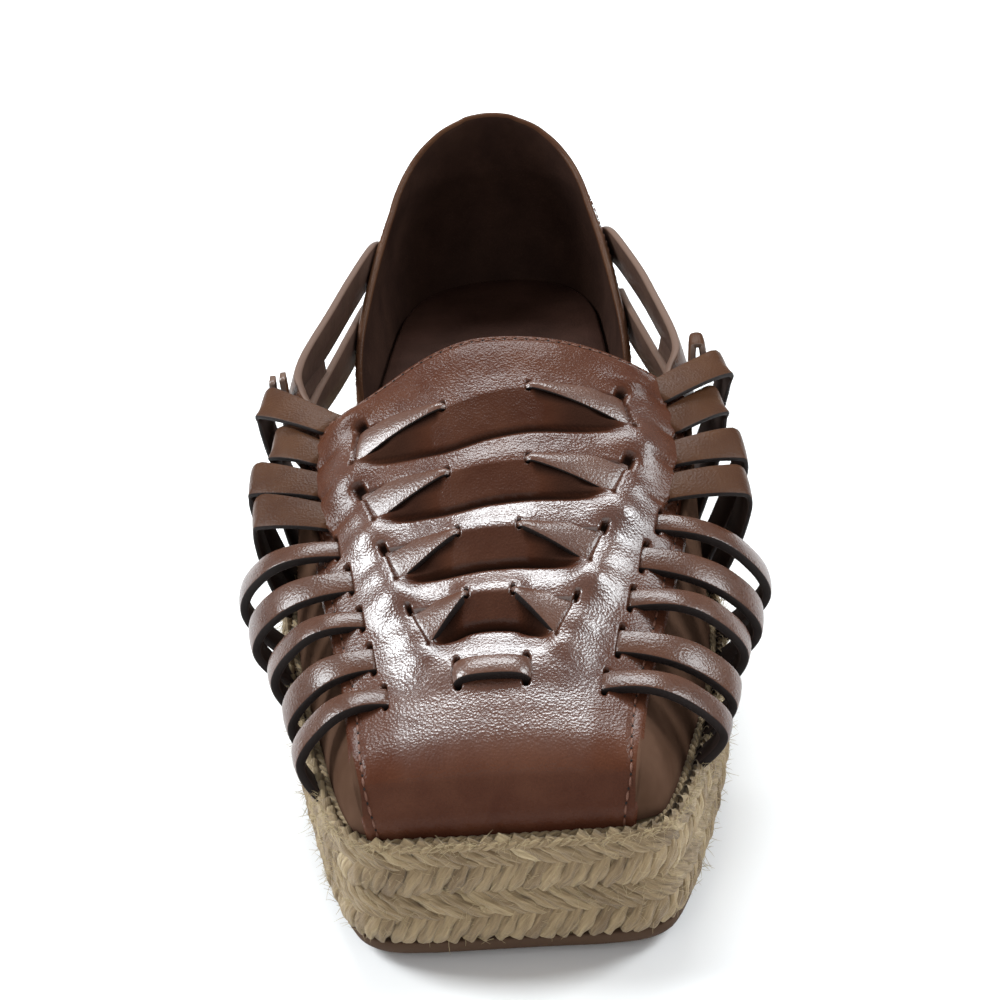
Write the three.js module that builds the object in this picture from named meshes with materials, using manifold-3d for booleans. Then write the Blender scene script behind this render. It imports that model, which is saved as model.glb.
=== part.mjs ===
import * as THREE from "three";
import Module from "manifold-3d";

// Woven leather espadrille on a jute platform, right foot, sizes in millimetres
const SOLE_LENGTH = 249;
const BALL_WIDTH = 91;
const OUTSOLE_THICKNESS = 3.3;
const BRAID_ROWS = 2;
const BRAID_HEIGHT = 10.8;
const TOE_SPRING = 2.6;
const SPRING_RUN = 58;
const JOIN_GAP = 0.3;
const INSOLE_THICKNESS = 2.4;
const INSOLE_INSET = 5.6;
const INSOLE_FRONT = 6;
const LEATHER = 1.8;
const THROAT_ALONG = 102;
const INSTEP_RISE = 51.4;
const COUNTER_RISE = 50;
const COUNTER_LENGTH = 82;
const UPPER_INSET = 3.4;
const QUARTER_WIDTH = 9;
const BAND_LIFT = 1.3;
const WEDGE_LIFT = 2.4;
const STRAP_SINK = 0.7;
const TRIM_DEPTH = 24;
const TRIM_WIDER = 6;

const SOLE_HEIGHT = OUTSOLE_THICKNESS + JOIN_GAP + BRAID_ROWS * BRAID_HEIGHT;
const LATERAL = -1;
const MEDIAL = 1;
const SIDES = [LATERAL, MEDIAL];

// Sole outline from the toe back, along as a share of the length, widths as a share of the ball width
const OUTLINE_COLUMNS = ["along", "lateral", "medial"];
const OUTLINE = [
  [0.0, 0.143, 0.187],
  [0.003, 0.225, 0.269],
  [0.013, 0.281, 0.325],
  [0.031, 0.318, 0.358],
  [0.064, 0.354, 0.391],
  [0.12, 0.393, 0.431],
  [0.193, 0.44, 0.473],
  [0.273, 0.482, 0.499],
  [0.353, 0.5, 0.49],
  [0.434, 0.492, 0.466],
  [0.534, 0.455, 0.424],
  [0.635, 0.415, 0.385],
  [0.735, 0.387, 0.362],
  [0.835, 0.362, 0.345],
  [0.896, 0.338, 0.327],
  [0.944, 0.288, 0.28],
  [0.976, 0.212, 0.208],
  [0.994, 0.116, 0.114],
  [1.0, 0.038, 0.038],
];

// Toe and vamp panel from the toe edge to the throat, along as a share of the throat distance,
// rise of its middle and drop of its edges as shares of the instep, widths as shares of the ball width,
// sweep of each edge and dip of the lateral half as shares of the throat distance
const PANEL_COLUMNS = [
  "along", "rise", "lateral", "medial", "lateralDrop", "medialDrop", "lateralSweep", "medialSweep", "dip",
];
const PANEL = [
  [0.035, -0.03, 0.247, 0.262, 0.0, 0.0, 0.0, 0.0, 0.0],
  [0.028, 0.079, 0.257, 0.27, 0.004, 0.004, 0.0, 0.0, 0.0],
  [0.039, 0.158, 0.267, 0.279, 0.016, 0.016, 0.0, 0.0, 0.0],
  [0.065, 0.236, 0.275, 0.286, 0.027, 0.027, 0.0, 0.0, 0.0],
  [0.114, 0.295, 0.281, 0.291, 0.047, 0.047, 0.0, 0.0, 0.0],
  [0.182, 0.335, 0.288, 0.299, 0.074, 0.07, 0.0, 0.0, 0.0],
  [0.271, 0.383, 0.299, 0.316, 0.105, 0.097, 0.0, 0.0, 0.0],
  [0.388, 0.477, 0.325, 0.349, 0.144, 0.132, 0.0, 0.0, 0.0],
  [0.525, 0.595, 0.357, 0.389, 0.206, 0.185, 0.001, 0.002, 0.0],
  [0.673, 0.728, 0.391, 0.433, 0.282, 0.243, 0.003, 0.006, 0.006],
  [0.82, 0.86, 0.424, 0.462, 0.362, 0.311, 0.007, 0.014, 0.016],
  [0.937, 0.957, 0.445, 0.475, 0.42, 0.366, 0.012, 0.024, 0.034],
  [1.0, 1.0, 0.451, 0.479, 0.451, 0.393, 0.014, 0.03, 0.045],
];
const LATERAL_ARCH = 1.7;
const MEDIAL_ARCH = 2.2;
const DIP_PLACE = 1.3;

// Woven rows from the throat to the toe, along in millimetres, across as a share of the half panel
const ROW_COLUMNS = ["outer", "outerAcross", "low", "lowAcross", "inner", "innerAcross", "band", "skew"];
const ROWS = [
  [92.2, 0.63, 84.6, 0.685, 88.6, 0.21, 79.4, 3.2],
  [76, 0.675, 67.2, 0.615, 71.8, 0.205, 64.4, 1.6],
  [59.4, 0.595, 51, 0.535, 57.3, 0.165, 50.5, 0.6],
  [43.4, 0.49, 34.8, 0.39, 43.3, 0.135, 37.6, 0],
];
const TOE_LOOP = { front: 24.6, back: 29.6, across: 0.22, lift: 2.2 };

// Slits that the side straps leave the vamp through, from the throat to the toe
const SLIT_COLUMNS = ["slit", "across", "slitWidth"];
const SLITS = [
  [98.3, 0.8, 6.8],
  [91.2, 0.85, 6.8],
  [83, 0.875, 6.9],
  [73.6, 0.865, 6.9],
  [64.3, 0.85, 4.4],
  [55.1, 0.81, 5.6],
  [44.9, 0.785, 4.2],
  [35.1, 0.765, 5.4],
  [25.5, 0.715, 4.4],
];

// Side straps in the same order: middle of the run to the bend as a share and its arch, place of the bend
// with its distance out of the outline and height over the sole, roundness of the bend, place and inset of
// the foot, bulge below the bend, tilt of the crest in degrees, width
const STRAP_COLUMNS = [
  "reach", "arch", "corner", "out", "rise", "bend", "foot", "inset", "bulge", "tilt", "width",
];
const LATERAL_STRAPS = [
  [0.5, 2.2, 111.6, 3.4, 34.4, 0.28, 120, 2.6, 2, 12, 8.4],
  [0.5, 1.8, 100.4, -1, 30.6, 0.28, 108, 2.6, 2, 15, 8.8],
  [0.5, 1.6, 91, 3.2, 27.4, 0.28, 97, 2.6, 2, 15, 8.8],
  [0.5, 1.6, 81.4, 2, 25.2, 0.28, 86.5, 2.6, 2, 15, 8.8],
  [0.36, 5.4, 69.5, 5.8, 15.6, 0.5, 71, 2.2, 4, 2, 5.8],
  [0.4, 4.2, 58.5, 4.2, 14.2, 0.5, 60, 2.2, 4, 14, 6.8],
  [0.36, 5, 47.4, 1.6, 12.6, 0.5, 48.5, 2.2, 3.5, 2, 5.6],
  [0.4, 3.8, 35.6, 0.2, 10.4, 0.5, 35.5, 1.8, 3, 14, 6.6],
  [0.36, 4.6, 24.2, 0.8, 8.6, 0.5, 22, 1.2, 2.5, 2, 5.6],
];
const MEDIAL_STRAPS = [
  [0.5, 2.2, 113.8, 8.4, 35.4, 0.28, 121, 2.6, 2, 6, 8],
  [0.5, 1.8, 105, 5.2, 31.6, 0.28, 110, 2.6, 2, 10, 8],
  [0.5, 1.8, 90.2, 6.8, 28.6, 0.28, 97, 2.6, 2, 18, 8.8],
  [0.5, 1.8, 79.8, 5.8, 26, 0.28, 86, 2.6, 2, 14, 8.6],
  [0.36, 5.6, 66.5, 8.2, 13.2, 0.5, 68, 2.4, 4, 2, 5.8],
  [0.4, 4.4, 56.2, 6.2, 12.8, 0.5, 57, 2.4, 4, 14, 6.8],
  [0.36, 6.2, 47, 4, 12.6, 0.5, 48.5, 2.4, 3.5, 2, 5.6],
  [0.4, 4.2, 34.8, 3.6, 9.8, 0.5, 34.5, 2.4, 3, 14, 6.6],
  [0.36, 5.6, 25.4, 3.6, 8.2, 0.5, 24.5, 2.4, 2.5, 2, 5.6],
];
const STRAP_STEPS = 4;
const CREST_START = 0.3;
const CREST_END = 0.55;
const FOOT_START = 0.9;
const FULL_WIDTH = 0.4;

// Smooth lining that closes each side between the edge of the vamp and the sole
const LINING = 1.2;
const LINING_INSET = 3.5;
const LINING_SINK = 0.9;
const LINING_ACROSS = 0.97;
const LINING_START = 0.3;
const LINING_SHIFT = 4.2;
const LINING_BACK_SHIFT = 10;
const LINING_SWELL = 2.4;
const LINING_LIFT = 0.5;
const LINING_STEPS = 18;
const LINING_LEVELS = 4;

// Quarter straps from the counter forward, inset from each side of the sole outline, rise above the sole
const QUARTER_COLUMNS = ["along", "lateral", "medial", "rise", "lean"];
const UPPER_QUARTER = [
  [214, 3.2, 3.2, 23.5, 0.1],
  [203, 2.2, 1.2, 26, 0.1],
  [168, 0.3, -2.4, 28.4, 0.1],
  [132, -0.5, -2.4, 30, 0.2],
  [116, 2.2, 1.2, 31, 0.6],
  [100, 9.8, 7.6, 31, 1],
];
const LOWER_QUARTER = [
  [200, 1.2, 1.2, 13, 0],
  [190, 0.8, 0.8, 14, 0],
  [160, -0.2, -1.4, 16.5, 0.1],
  [134, 0.4, -1.6, 20, 0.3],
  [118, 2.6, 1.4, 23.5, 0.5],
  [103, 8.6, 6.4, 27, 0.9],
];
const QUARTER_STEPS = 14;

// Heel counter, height of its edge as a share of its back height
const COUNTER_COLUMNS = ["along", "rise"];
const COUNTER_EDGE = [
  [0.0, 0.05],
  [0.03, 0.17],
  [0.07, 0.27],
  [0.14, 0.37],
  [0.28, 0.5],
  [0.46, 0.65],
  [0.64, 0.8],
  [0.8, 0.92],
  [0.92, 0.985],
  [1.0, 1.0],
];
const COUNTER_STEPS = 28;
const COUNTER_LEVELS = 6;
const COUNTER_SWELL = 2;
const SWELL_HEIGHT = 34;
const COUNTER_LEAN = 5.2;

// Smooth value of a table at a row position
function readRow(table, columns, position) {
  const last = table.length - 1;
  const index = Math.min(Math.max(Math.floor(position), 0), last - 1);
  const t = position - index;
  const row = {};
  columns.forEach((name, column) => {
    const b = table[index][column];
    const c = table[index + 1][column];
    const a = index > 0 ? table[index - 1][column] : 2 * b - c;
    const d = index < last - 1 ? table[index + 2][column] : 2 * c - b;
    const linear = c - a;
    const square = 2 * a - 5 * b + 4 * c - d;
    const cube = 3 * b - a - 3 * c + d;
    row[name] = 0.5 * (2 * b + linear * t + square * t * t + cube * t * t * t);
  });
  return row;
}

// Row position whose first column reaches a value
function findRow(table, columns, value) {
  let low = 0;
  let high = table.length - 1;
  for (let step = 0; step < 40; step += 1) {
    const middle = (low + high) / 2;
    if (readRow(table, columns, middle)[columns[0]] < value) low = middle;
    else high = middle;
  }
  return (low + high) / 2;
}

function namedRow(columns, values) {
  return Object.fromEntries(columns.map((name, i) => [name, values[i]]));
}

function springAt(along) {
  const left = Math.max(0, 1 - Math.max(along, 0) / SPRING_RUN);
  return TOE_SPRING * left * left;
}

function soleTop(along) {
  return SOLE_HEIGHT + springAt(along);
}

const OUTLINE_SPLIT = 2;
const OUTLINE_STATIONS = (OUTLINE.length - 1) * OUTLINE_SPLIT + 1;

// Closed outline, lateral side from the toe back, then the medial side forward
function outlineRing(inset) {
  const lateral = [];
  const medial = [];
  for (let i = 0; i < OUTLINE_STATIONS; i += 1) {
    const row = readRow(OUTLINE, OUTLINE_COLUMNS, i / OUTLINE_SPLIT);
    const along = row.along * SOLE_LENGTH;
    lateral.push(new THREE.Vector2(-row.lateral * BALL_WIDTH, along));
    medial.push(new THREE.Vector2(row.medial * BALL_WIDTH, along));
  }
  const ring = lateral.concat(medial.reverse());
  return ring.map((point, i) => {
    const before = ring[(i + ring.length - 1) % ring.length];
    const after = ring[(i + 1) % ring.length];
    const run = after.clone().sub(before).normalize();
    const inward = new THREE.Vector2(run.y, -run.x);
    return point.clone().addScaledVector(inward, inset);
  });
}

// Point and tangent of one side of the outline at a distance from the toe
function outlineSide(side, along, inset) {
  const position = findRow(OUTLINE, OUTLINE_COLUMNS, along / SOLE_LENGTH);
  const name = side === LATERAL ? "lateral" : "medial";
  const half = 0.02;
  const at = (place) => {
    const row = readRow(OUTLINE, OUTLINE_COLUMNS, place);
    return new THREE.Vector2(side * row[name] * BALL_WIDTH, row.along * SOLE_LENGTH);
  };
  const run = at(position + half).sub(at(position - half)).normalize();
  const outward = new THREE.Vector2(side * run.y, -side * run.x);
  const point = at(position).addScaledVector(outward, -inset);
  return { point, run, outward };
}

function solidFrom(positions, triangles) {
  let volume = 0;
  const at = (index) => new THREE.Vector3(...positions[index]);
  for (const [a, b, c] of triangles) volume += at(a).dot(at(b).cross(at(c)));
  const turned = volume < 0 ? triangles.map(([a, b, c]) => [a, c, b]) : triangles;
  return { positions, triangles: turned };
}

// Solid between stacked rings of one outline
function stackRings(rings) {
  const positions = [];
  const triangles = [];
  const count = rings[0].ring.length;
  for (const { height, ring } of rings) {
    for (const point of ring) positions.push([point.x, point.y, height + springAt(point.y)]);
  }
  for (let level = 0; level + 1 < rings.length; level += 1) {
    for (let i = 0; i < count; i += 1) {
      const a = level * count + i;
      const b = level * count + ((i + 1) % count);
      triangles.push([a, b, b + count], [a, b + count, a + count]);
    }
  }
  const top = (rings.length - 1) * count;
  for (let i = 0; i + 1 < count / 2; i += 1) {
    const a = i;
    const b = i + 1;
    const c = count - 2 - i;
    const d = count - 1 - i;
    triangles.push([a, c, b], [a, d, c]);
    triangles.push([top + a, top + b, top + c], [top + a, top + c, top + d]);
  }
  return solidFrom(positions, triangles);
}

// Solid between two grids of points with the same rows and columns
function thickGrid(outer, inner) {
  const rows = outer.length;
  const columns = outer[0].length;
  const positions = [...outer.flat(), ...inner.flat()].map((p) => [p.x, p.y, p.z]);
  const back = rows * columns;
  const triangles = [];
  const at = (i, j) => i * columns + j;
  for (let i = 0; i + 1 < rows; i += 1) {
    for (let j = 0; j + 1 < columns; j += 1) {
      const a = at(i, j);
      const b = at(i + 1, j);
      const c = at(i + 1, j + 1);
      const d = at(i, j + 1);
      triangles.push([a, b, c], [a, c, d]);
      triangles.push([back + a, back + c, back + b], [back + a, back + d, back + c]);
    }
  }
  const edge = [];
  for (let j = 0; j < columns - 1; j += 1) edge.push(at(0, j));
  for (let i = 0; i < rows - 1; i += 1) edge.push(at(i, columns - 1));
  for (let j = columns - 1; j > 0; j -= 1) edge.push(at(rows - 1, j));
  for (let i = rows - 1; i > 0; i -= 1) edge.push(at(i, 0));
  edge.forEach((a, k) => {
    const b = edge[(k + 1) % edge.length];
    triangles.push([a, b, back + b], [a, back + b, back + a]);
  });
  return solidFrom(positions, triangles);
}

// Outer face of the vamp panel at a row position and a place across it from -1 to 1
function panelPoint(position, across) {
  const row = readRow(PANEL, PANEL_COLUMNS, position);
  const wide = Math.abs(across);
  const side = across < 0 ? "lateral" : "medial";
  const arch = across < 0 ? LATERAL_ARCH : MEDIAL_ARCH;
  const dip = across < 0 ? row.dip * Math.sin(Math.PI * wide ** DIP_PLACE) ** 2 : 0;
  const along = (row.along + row[side + "Sweep"] * across - dip) * THROAT_ALONG;
  const drop = row[side + "Drop"] * wide ** arch;
  const height = soleTop(along) + (row.rise - drop) * INSTEP_RISE;
  return new THREE.Vector3(row[side] * across * BALL_WIDTH, along, height);
}

function panelNormal(position, across) {
  const step = 0.02;
  const along = panelPoint(position + step, across).sub(panelPoint(position - step, across));
  const over = panelPoint(position, across + step).sub(panelPoint(position, across - step));
  return over.cross(along).normalize();
}

const PANEL_TOP_START = 2;
const PANEL_PAST_EDGE = 0.4;

// Place on the top face at a distance from the toe, lifted off the leather
function panelFace(along, across, lift) {
  let low = PANEL_TOP_START;
  let high = PANEL.length - 1 + PANEL_PAST_EDGE;
  for (let step = 0; step < 30; step += 1) {
    const middle = (low + high) / 2;
    if (panelPoint(middle, across).y < along) low = middle;
    else high = middle;
  }
  const place = (low + high) / 2;
  return panelPoint(place, across).addScaledVector(panelNormal(place, across), lift);
}

const PANEL_SPLIT = 2;
const PANEL_HALF = 8;

function vampPanel() {
  const outer = [];
  const inner = [];
  for (let i = 0; i <= (PANEL.length - 1) * PANEL_SPLIT; i += 1) {
    const position = i / PANEL_SPLIT;
    const outerRow = [];
    const innerRow = [];
    for (let j = -PANEL_HALF; j <= PANEL_HALF; j += 1) {
      const point = panelPoint(position, j / PANEL_HALF);
      const normal = panelNormal(position, j / PANEL_HALF);
      outerRow.push(point);
      innerRow.push(point.clone().addScaledVector(normal, -LEATHER));
    }
    outer.push(outerRow);
    inner.push(innerRow);
  }
  return thickGrid(outer, inner);
}

// Raised strip on the panel between four corners of along and across
function raisedStrip(corners, lift, steps, rows) {
  const [a, b, c, d] = corners;
  const outer = [];
  const inner = [];
  const mix = (p, q, t) => p + (q - p) * t;
  for (let i = 0; i <= steps; i += 1) {
    const outerRow = [];
    const innerRow = [];
    for (let j = 0; j <= rows; j += 1) {
      const s = i / steps;
      const t = j / rows;
      const along = mix(mix(a[0], b[0], s), mix(d[0], c[0], s), t);
      const across = mix(mix(a[1], b[1], s), mix(d[1], c[1], s), t);
      outerRow.push(panelFace(along, across, lift));
      innerRow.push(panelFace(along, across, -STRAP_SINK));
    }
    outer.push(outerRow);
    inner.push(innerRow);
  }
  return thickGrid(outer, inner);
}

const WEDGE_TIP = 1.4;
const BAND_SPREAD = 0.78;
const BAND_TUCK = 0.02;

function wovenRow(values) {
  const row = namedRow(ROW_COLUMNS, values);
  const spread = row.lowAcross * BAND_SPREAD;
  const place = (side, along, across) => [side === LATERAL ? along - row.skew : along, side * across];
  const pieces = [];
  pieces.push(raisedStrip([
    place(LATERAL, row.inner, row.innerAcross + BAND_TUCK),
    place(MEDIAL, row.inner, row.innerAcross + BAND_TUCK),
    place(MEDIAL, row.band, spread),
    place(LATERAL, row.band, spread),
  ], BAND_LIFT, 8, 2));
  for (const side of SIDES) {
    pieces.push(raisedStrip([
      place(side, row.outer, row.outerAcross),
      place(side, row.inner + WEDGE_TIP, row.innerAcross),
      place(side, row.inner, row.innerAcross),
      place(side, row.low, row.lowAcross),
    ], WEDGE_LIFT, 6, 2));
  }
  return pieces;
}

function toeLoop() {
  const { front, back, across, lift } = TOE_LOOP;
  return raisedStrip([[back, -across], [back, across], [front, across], [front, -across]], lift, 6, 2);
}

// Flat strap swept along a path, with a width and a width direction at each step
function sweepStrap(path, widths, directions, thickness) {
  const outer = [];
  const inner = [];
  path.forEach((point, i) => {
    const before = path[Math.max(i - 1, 0)];
    const after = path[Math.min(i + 1, path.length - 1)];
    const run = after.clone().sub(before).normalize();
    const wide = directions[i].clone().addScaledVector(run, -directions[i].dot(run)).normalize();
    const face = run.clone().cross(wide).normalize();
    const outerRow = [];
    const innerRow = [];
    for (const share of [-0.5, 0.5]) {
      const edge = point.clone().addScaledVector(wide, share * widths[i]);
      outerRow.push(edge.clone().addScaledVector(face, thickness / 2));
      innerRow.push(edge.clone().addScaledVector(face, -thickness / 2));
    }
    outer.push(outerRow);
    inner.push(innerRow);
  });
  return thickGrid(outer, inner);
}

// Strap from its slit over a rounded bend down to the edge of the sole
function sideStrap(slitValues, values, side) {
  const strap = { ...namedRow(SLIT_COLUMNS, slitValues), ...namedRow(STRAP_COLUMNS, values) };
  const across = side * strap.across;
  const start = panelFace(strap.slit, across, -STRAP_SINK);
  const up = panelFace(strap.slit, across, 1).sub(panelFace(strap.slit, across, 0));
  const corner = outlineSide(side, strap.corner, -strap.out);
  const turn = new THREE.Vector3(corner.point.x, corner.point.y, soleTop(strap.corner) + strap.rise);
  const foot = outlineSide(side, strap.foot, strap.inset);
  const end = new THREE.Vector3(foot.point.x, foot.point.y, soleTop(strap.foot) - LEATHER);
  const first = start.clone().lerp(turn, strap.reach).addScaledVector(up, strap.arch);
  const last = turn.clone().lerp(end, 0.5);
  last.x += foot.outward.x * strap.bulge;
  last.y += foot.outward.y * strap.bulge;
  const before = turn.clone().lerp(first, strap.bend);
  const after = turn.clone().lerp(last, strap.bend);
  const path = [start];
  for (const stretch of [[start, first, before], [before, turn, after], [after, last, end]]) {
    path.push(...new THREE.QuadraticBezierCurve3(...stretch).getPoints(STRAP_STEPS).slice(1));
  }
  const lengths = [0];
  path.slice(1).forEach((point, i) => lengths.push(lengths[i] + point.distanceTo(path[i])));
  const slitRun = panelFace(strap.slit + 1, across, 0).sub(panelFace(strap.slit - 1, across, 0)).normalize();
  const tilt = THREE.MathUtils.degToRad(strap.tilt);
  const crest = new THREE.Vector3(corner.run.x, corner.run.y, Math.tan(tilt)).normalize();
  const footRun = new THREE.Vector3(foot.run.x, foot.run.y, 0);
  const shares = lengths.map((length) => length / lengths[lengths.length - 1]);
  const blend = THREE.MathUtils.smoothstep;
  const wider = strap.width - strap.slitWidth;
  const widths = shares.map((t) => strap.slitWidth + wider * blend(t, 0, FULL_WIDTH));
  const directions = shares.map((t) => {
    const top = slitRun.clone().lerp(crest, blend(t, 0, CREST_START));
    return top.lerp(footRun, blend(t, CREST_END, FOOT_START));
  });
  return sweepStrap(path, widths, directions, LEATHER);
}

// Wall from just under the edge of the vamp down to the sole, swelling outward
function sideLining(side) {
  const outer = [];
  const inner = [];
  for (let i = 0; i <= LINING_STEPS; i += 1) {
    const position = LINING_START + (PANEL.length - 1 - LINING_START) * (i / LINING_STEPS);
    const across = side * LINING_ACROSS;
    const top = panelPoint(position, across).addScaledVector(panelNormal(position, across), -LINING_SINK);
    const along = top.y + LINING_SHIFT + LINING_BACK_SHIFT * (top.y / THROAT_ALONG) ** 3;
    const foot = outlineSide(side, along, LINING_INSET);
    const bottom = new THREE.Vector3(foot.point.x, foot.point.y, soleTop(along) - LEATHER);
    const away = new THREE.Vector3(foot.outward.x, foot.outward.y, LINING_LIFT);
    const middle = top.clone().lerp(bottom, 0.5).addScaledVector(away, LINING_SWELL);
    const curve = new THREE.QuadraticBezierCurve3(top, middle, bottom);
    const outerRow = [];
    const innerRow = [];
    for (let j = 0; j <= LINING_LEVELS; j += 1) {
      const point = curve.getPoint(j / LINING_LEVELS);
      const run = curve.getTangent(j / LINING_LEVELS);
      const face = away.clone().addScaledVector(run, -away.dot(run)).normalize();
      outerRow.push(point);
      innerRow.push(point.clone().addScaledVector(face, -LINING));
    }
    outer.push(outerRow);
    inner.push(innerRow);
  }
  return thickGrid(outer, inner);
}

function quarterStrap(table, side) {
  const path = [];
  const widths = [];
  const directions = [];
  for (let i = 0; i <= QUARTER_STEPS; i += 1) {
    const place = (i / QUARTER_STEPS) * (table.length - 1);
    const row = readRow(table, QUARTER_COLUMNS, place);
    const inset = side === LATERAL ? row.lateral : row.medial;
    const { point } = outlineSide(side, row.along, inset);
    path.push(new THREE.Vector3(point.x, point.y, soleTop(row.along) + row.rise));
    widths.push(QUARTER_WIDTH);
    directions.push(new THREE.Vector3(-side * row.lean, 0, 1));
  }
  return sweepStrap(path, widths, directions, LEATHER);
}

// Inset of the counter's outer face at a height above the sole
function counterInset(height) {
  const swell = COUNTER_SWELL * Math.sin(Math.PI * Math.min(Math.max(height, 0) / SWELL_HEIGHT, 1));
  return UPPER_INSET - swell + COUNTER_LEAN * (height / COUNTER_RISE) ** 2;
}

// Place on the outline round the heel, from the lateral front edge to the medial one
function heelPath(share, inset) {
  const ring = outlineRing(inset);
  const start = SOLE_LENGTH - COUNTER_LENGTH;
  const round = ring.filter((point) => point.y > start);
  const lengths = [0];
  round.forEach((point, i) => {
    if (i > 0) lengths.push(lengths[i - 1] + point.distanceTo(round[i - 1]));
  });
  const goal = share * lengths[lengths.length - 1];
  let i = 1;
  while (i < round.length - 1 && lengths[i] < goal) i += 1;
  const t = (goal - lengths[i - 1]) / (lengths[i] - lengths[i - 1]);
  return round[i - 1].clone().lerp(round[i], t);
}

function heelCounter() {
  const outer = [];
  const inner = [];
  for (let i = 0; i <= COUNTER_STEPS; i += 1) {
    const share = i / COUNTER_STEPS;
    const back = 1 - Math.abs(2 * share - 1);
    const edge = readRow(COUNTER_EDGE, COUNTER_COLUMNS, findRow(COUNTER_EDGE, COUNTER_COLUMNS, back));
    const outerRow = [];
    const innerRow = [];
    for (let j = 0; j <= COUNTER_LEVELS; j += 1) {
      const height = -LEATHER + (edge.rise * COUNTER_RISE + LEATHER) * (j / COUNTER_LEVELS);
      const inset = counterInset(height);
      const face = heelPath(share, inset);
      const lining = heelPath(share, inset + LEATHER);
      outerRow.push(new THREE.Vector3(face.x, face.y, soleTop(face.y) + height));
      innerRow.push(new THREE.Vector3(lining.x, lining.y, soleTop(lining.y) + height));
    }
    outer.push(outerRow);
    inner.push(innerRow);
  }
  return thickGrid(outer, inner);
}

const wasm = await Module();
wasm.setup();

function toManifold({ positions, triangles }) {
  const vertProperties = new Float32Array(positions.flat());
  const triVerts = new Uint32Array(triangles.flat());
  return new wasm.Manifold(new wasm.Mesh({ numProp: 3, vertProperties, triVerts }));
}

function toGeometry({ positions, triangles }) {
  const geometry = new THREE.BufferGeometry();
  geometry.setAttribute("position", new THREE.Float32BufferAttribute(positions.flat(), 3));
  geometry.setIndex(triangles.flat());
  geometry.computeVertexNormals();
  return geometry;
}

function upperGeometry() {
  const pieces = [vampPanel(), toeLoop(), heelCounter()];
  for (const row of ROWS) pieces.push(...wovenRow(row));
  for (const side of SIDES) {
    const straps = side === LATERAL ? LATERAL_STRAPS : MEDIAL_STRAPS;
    SLITS.forEach((slit, i) => pieces.push(sideStrap(slit, straps[i], side)));
    pieces.push(sideLining(side));
    pieces.push(quarterStrap(UPPER_QUARTER, side), quarterStrap(LOWER_QUARTER, side));
  }
  let whole = toManifold(pieces[0]);
  for (const piece of pieces.slice(1)) whole = whole.add(toManifold(piece));
  const wider = outlineRing(-TRIM_WIDER);
  const under = stackRings([
    { height: SOLE_HEIGHT - TRIM_DEPTH, ring: wider },
    { height: SOLE_HEIGHT + JOIN_GAP, ring: wider },
  ]);
  const trimmed = whole.subtract(toManifold(under));
  const mesh = trimmed.getMesh();
  const positions = [];
  for (let i = 0; i < mesh.vertProperties.length; i += mesh.numProp) {
    positions.push(Array.from(mesh.vertProperties.slice(i, i + 3)));
  }
  const triangles = [];
  for (let i = 0; i < mesh.triVerts.length; i += 3) {
    triangles.push(Array.from(mesh.triVerts.slice(i, i + 3)));
  }
  return toGeometry({ positions, triangles });
}

const OUTSOLE_EDGE = [
  { height: 0, inset: 2.4 },
  { height: 0.9, inset: 1.5 },
  { height: OUTSOLE_THICKNESS, inset: 1.2 },
];
const RIB_SHAPE = [
  { share: 0, inset: 1.3 },
  { share: 0.16, inset: 0.3 },
  { share: 0.5, inset: 0 },
  { share: 0.84, inset: 0.3 },
];
const RIM_INSET = 1.6;

function outsoleSolid() {
  return stackRings(OUTSOLE_EDGE.map(({ height, inset }) => ({ height, ring: outlineRing(inset) })));
}

function braidedSolid() {
  const rings = [];
  const base = OUTSOLE_THICKNESS + JOIN_GAP;
  for (let row = 0; row < BRAID_ROWS; row += 1) {
    for (const { share, inset } of RIB_SHAPE) {
      rings.push({ height: base + (row + share) * BRAID_HEIGHT, ring: outlineRing(inset) });
    }
  }
  rings.push({ height: SOLE_HEIGHT, ring: outlineRing(RIM_INSET) });
  return stackRings(rings);
}

const INSOLE_BEVEL = 0.4;

function insoleRing(bevel) {
  return outlineRing(INSOLE_INSET + bevel).map((point) => {
    point.y = Math.max(point.y, INSOLE_FRONT + bevel);
    return point;
  });
}

function insoleSolid() {
  const base = SOLE_HEIGHT + JOIN_GAP;
  return stackRings([
    { height: base, ring: insoleRing(0) },
    { height: base + INSOLE_THICKNESS, ring: insoleRing(INSOLE_BEVEL) },
  ]);
}

const leather = new THREE.MeshStandardMaterial({ name: "leather", color: 0x6b4634, roughness: 0.4 });
const jute = new THREE.MeshStandardMaterial({ name: "jute", color: 0xb79f78, roughness: 0.95 });
const rubber = new THREE.MeshStandardMaterial({ name: "rubber", color: 0x55463a, roughness: 0.8 });
const footbed = new THREE.MeshStandardMaterial({ name: "footbed", color: 0x4a3428, roughness: 0.5 });

function namedMesh(name, geometry, material) {
  const mesh = new THREE.Mesh(geometry, material);
  mesh.name = name;
  return mesh;
}

const shoe = new THREE.Group();
shoe.name = "espadrille";
shoe.add(namedMesh("outsole", toGeometry(outsoleSolid()), rubber));
shoe.add(namedMesh("midsole", toGeometry(braidedSolid()), jute));
shoe.add(namedMesh("insole", toGeometry(insoleSolid()), footbed));
shoe.add(namedMesh("upper", upperGeometry(), leather));

// Middle of the whole over the origin, sole on the floor
const bounds = new THREE.Box3().setFromObject(shoe);
const middle = bounds.getCenter(new THREE.Vector3());
for (const mesh of shoe.children) mesh.geometry.translate(-middle.x, -middle.y, -bounds.min.z);

export default shoe;
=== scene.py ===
"""Looks of a woven leather espadrille for the right foot, on a platform with braided jute sides."""
import math

import bmesh
import bpy
import numpy as np
from mathutils import Matrix, Vector


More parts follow.
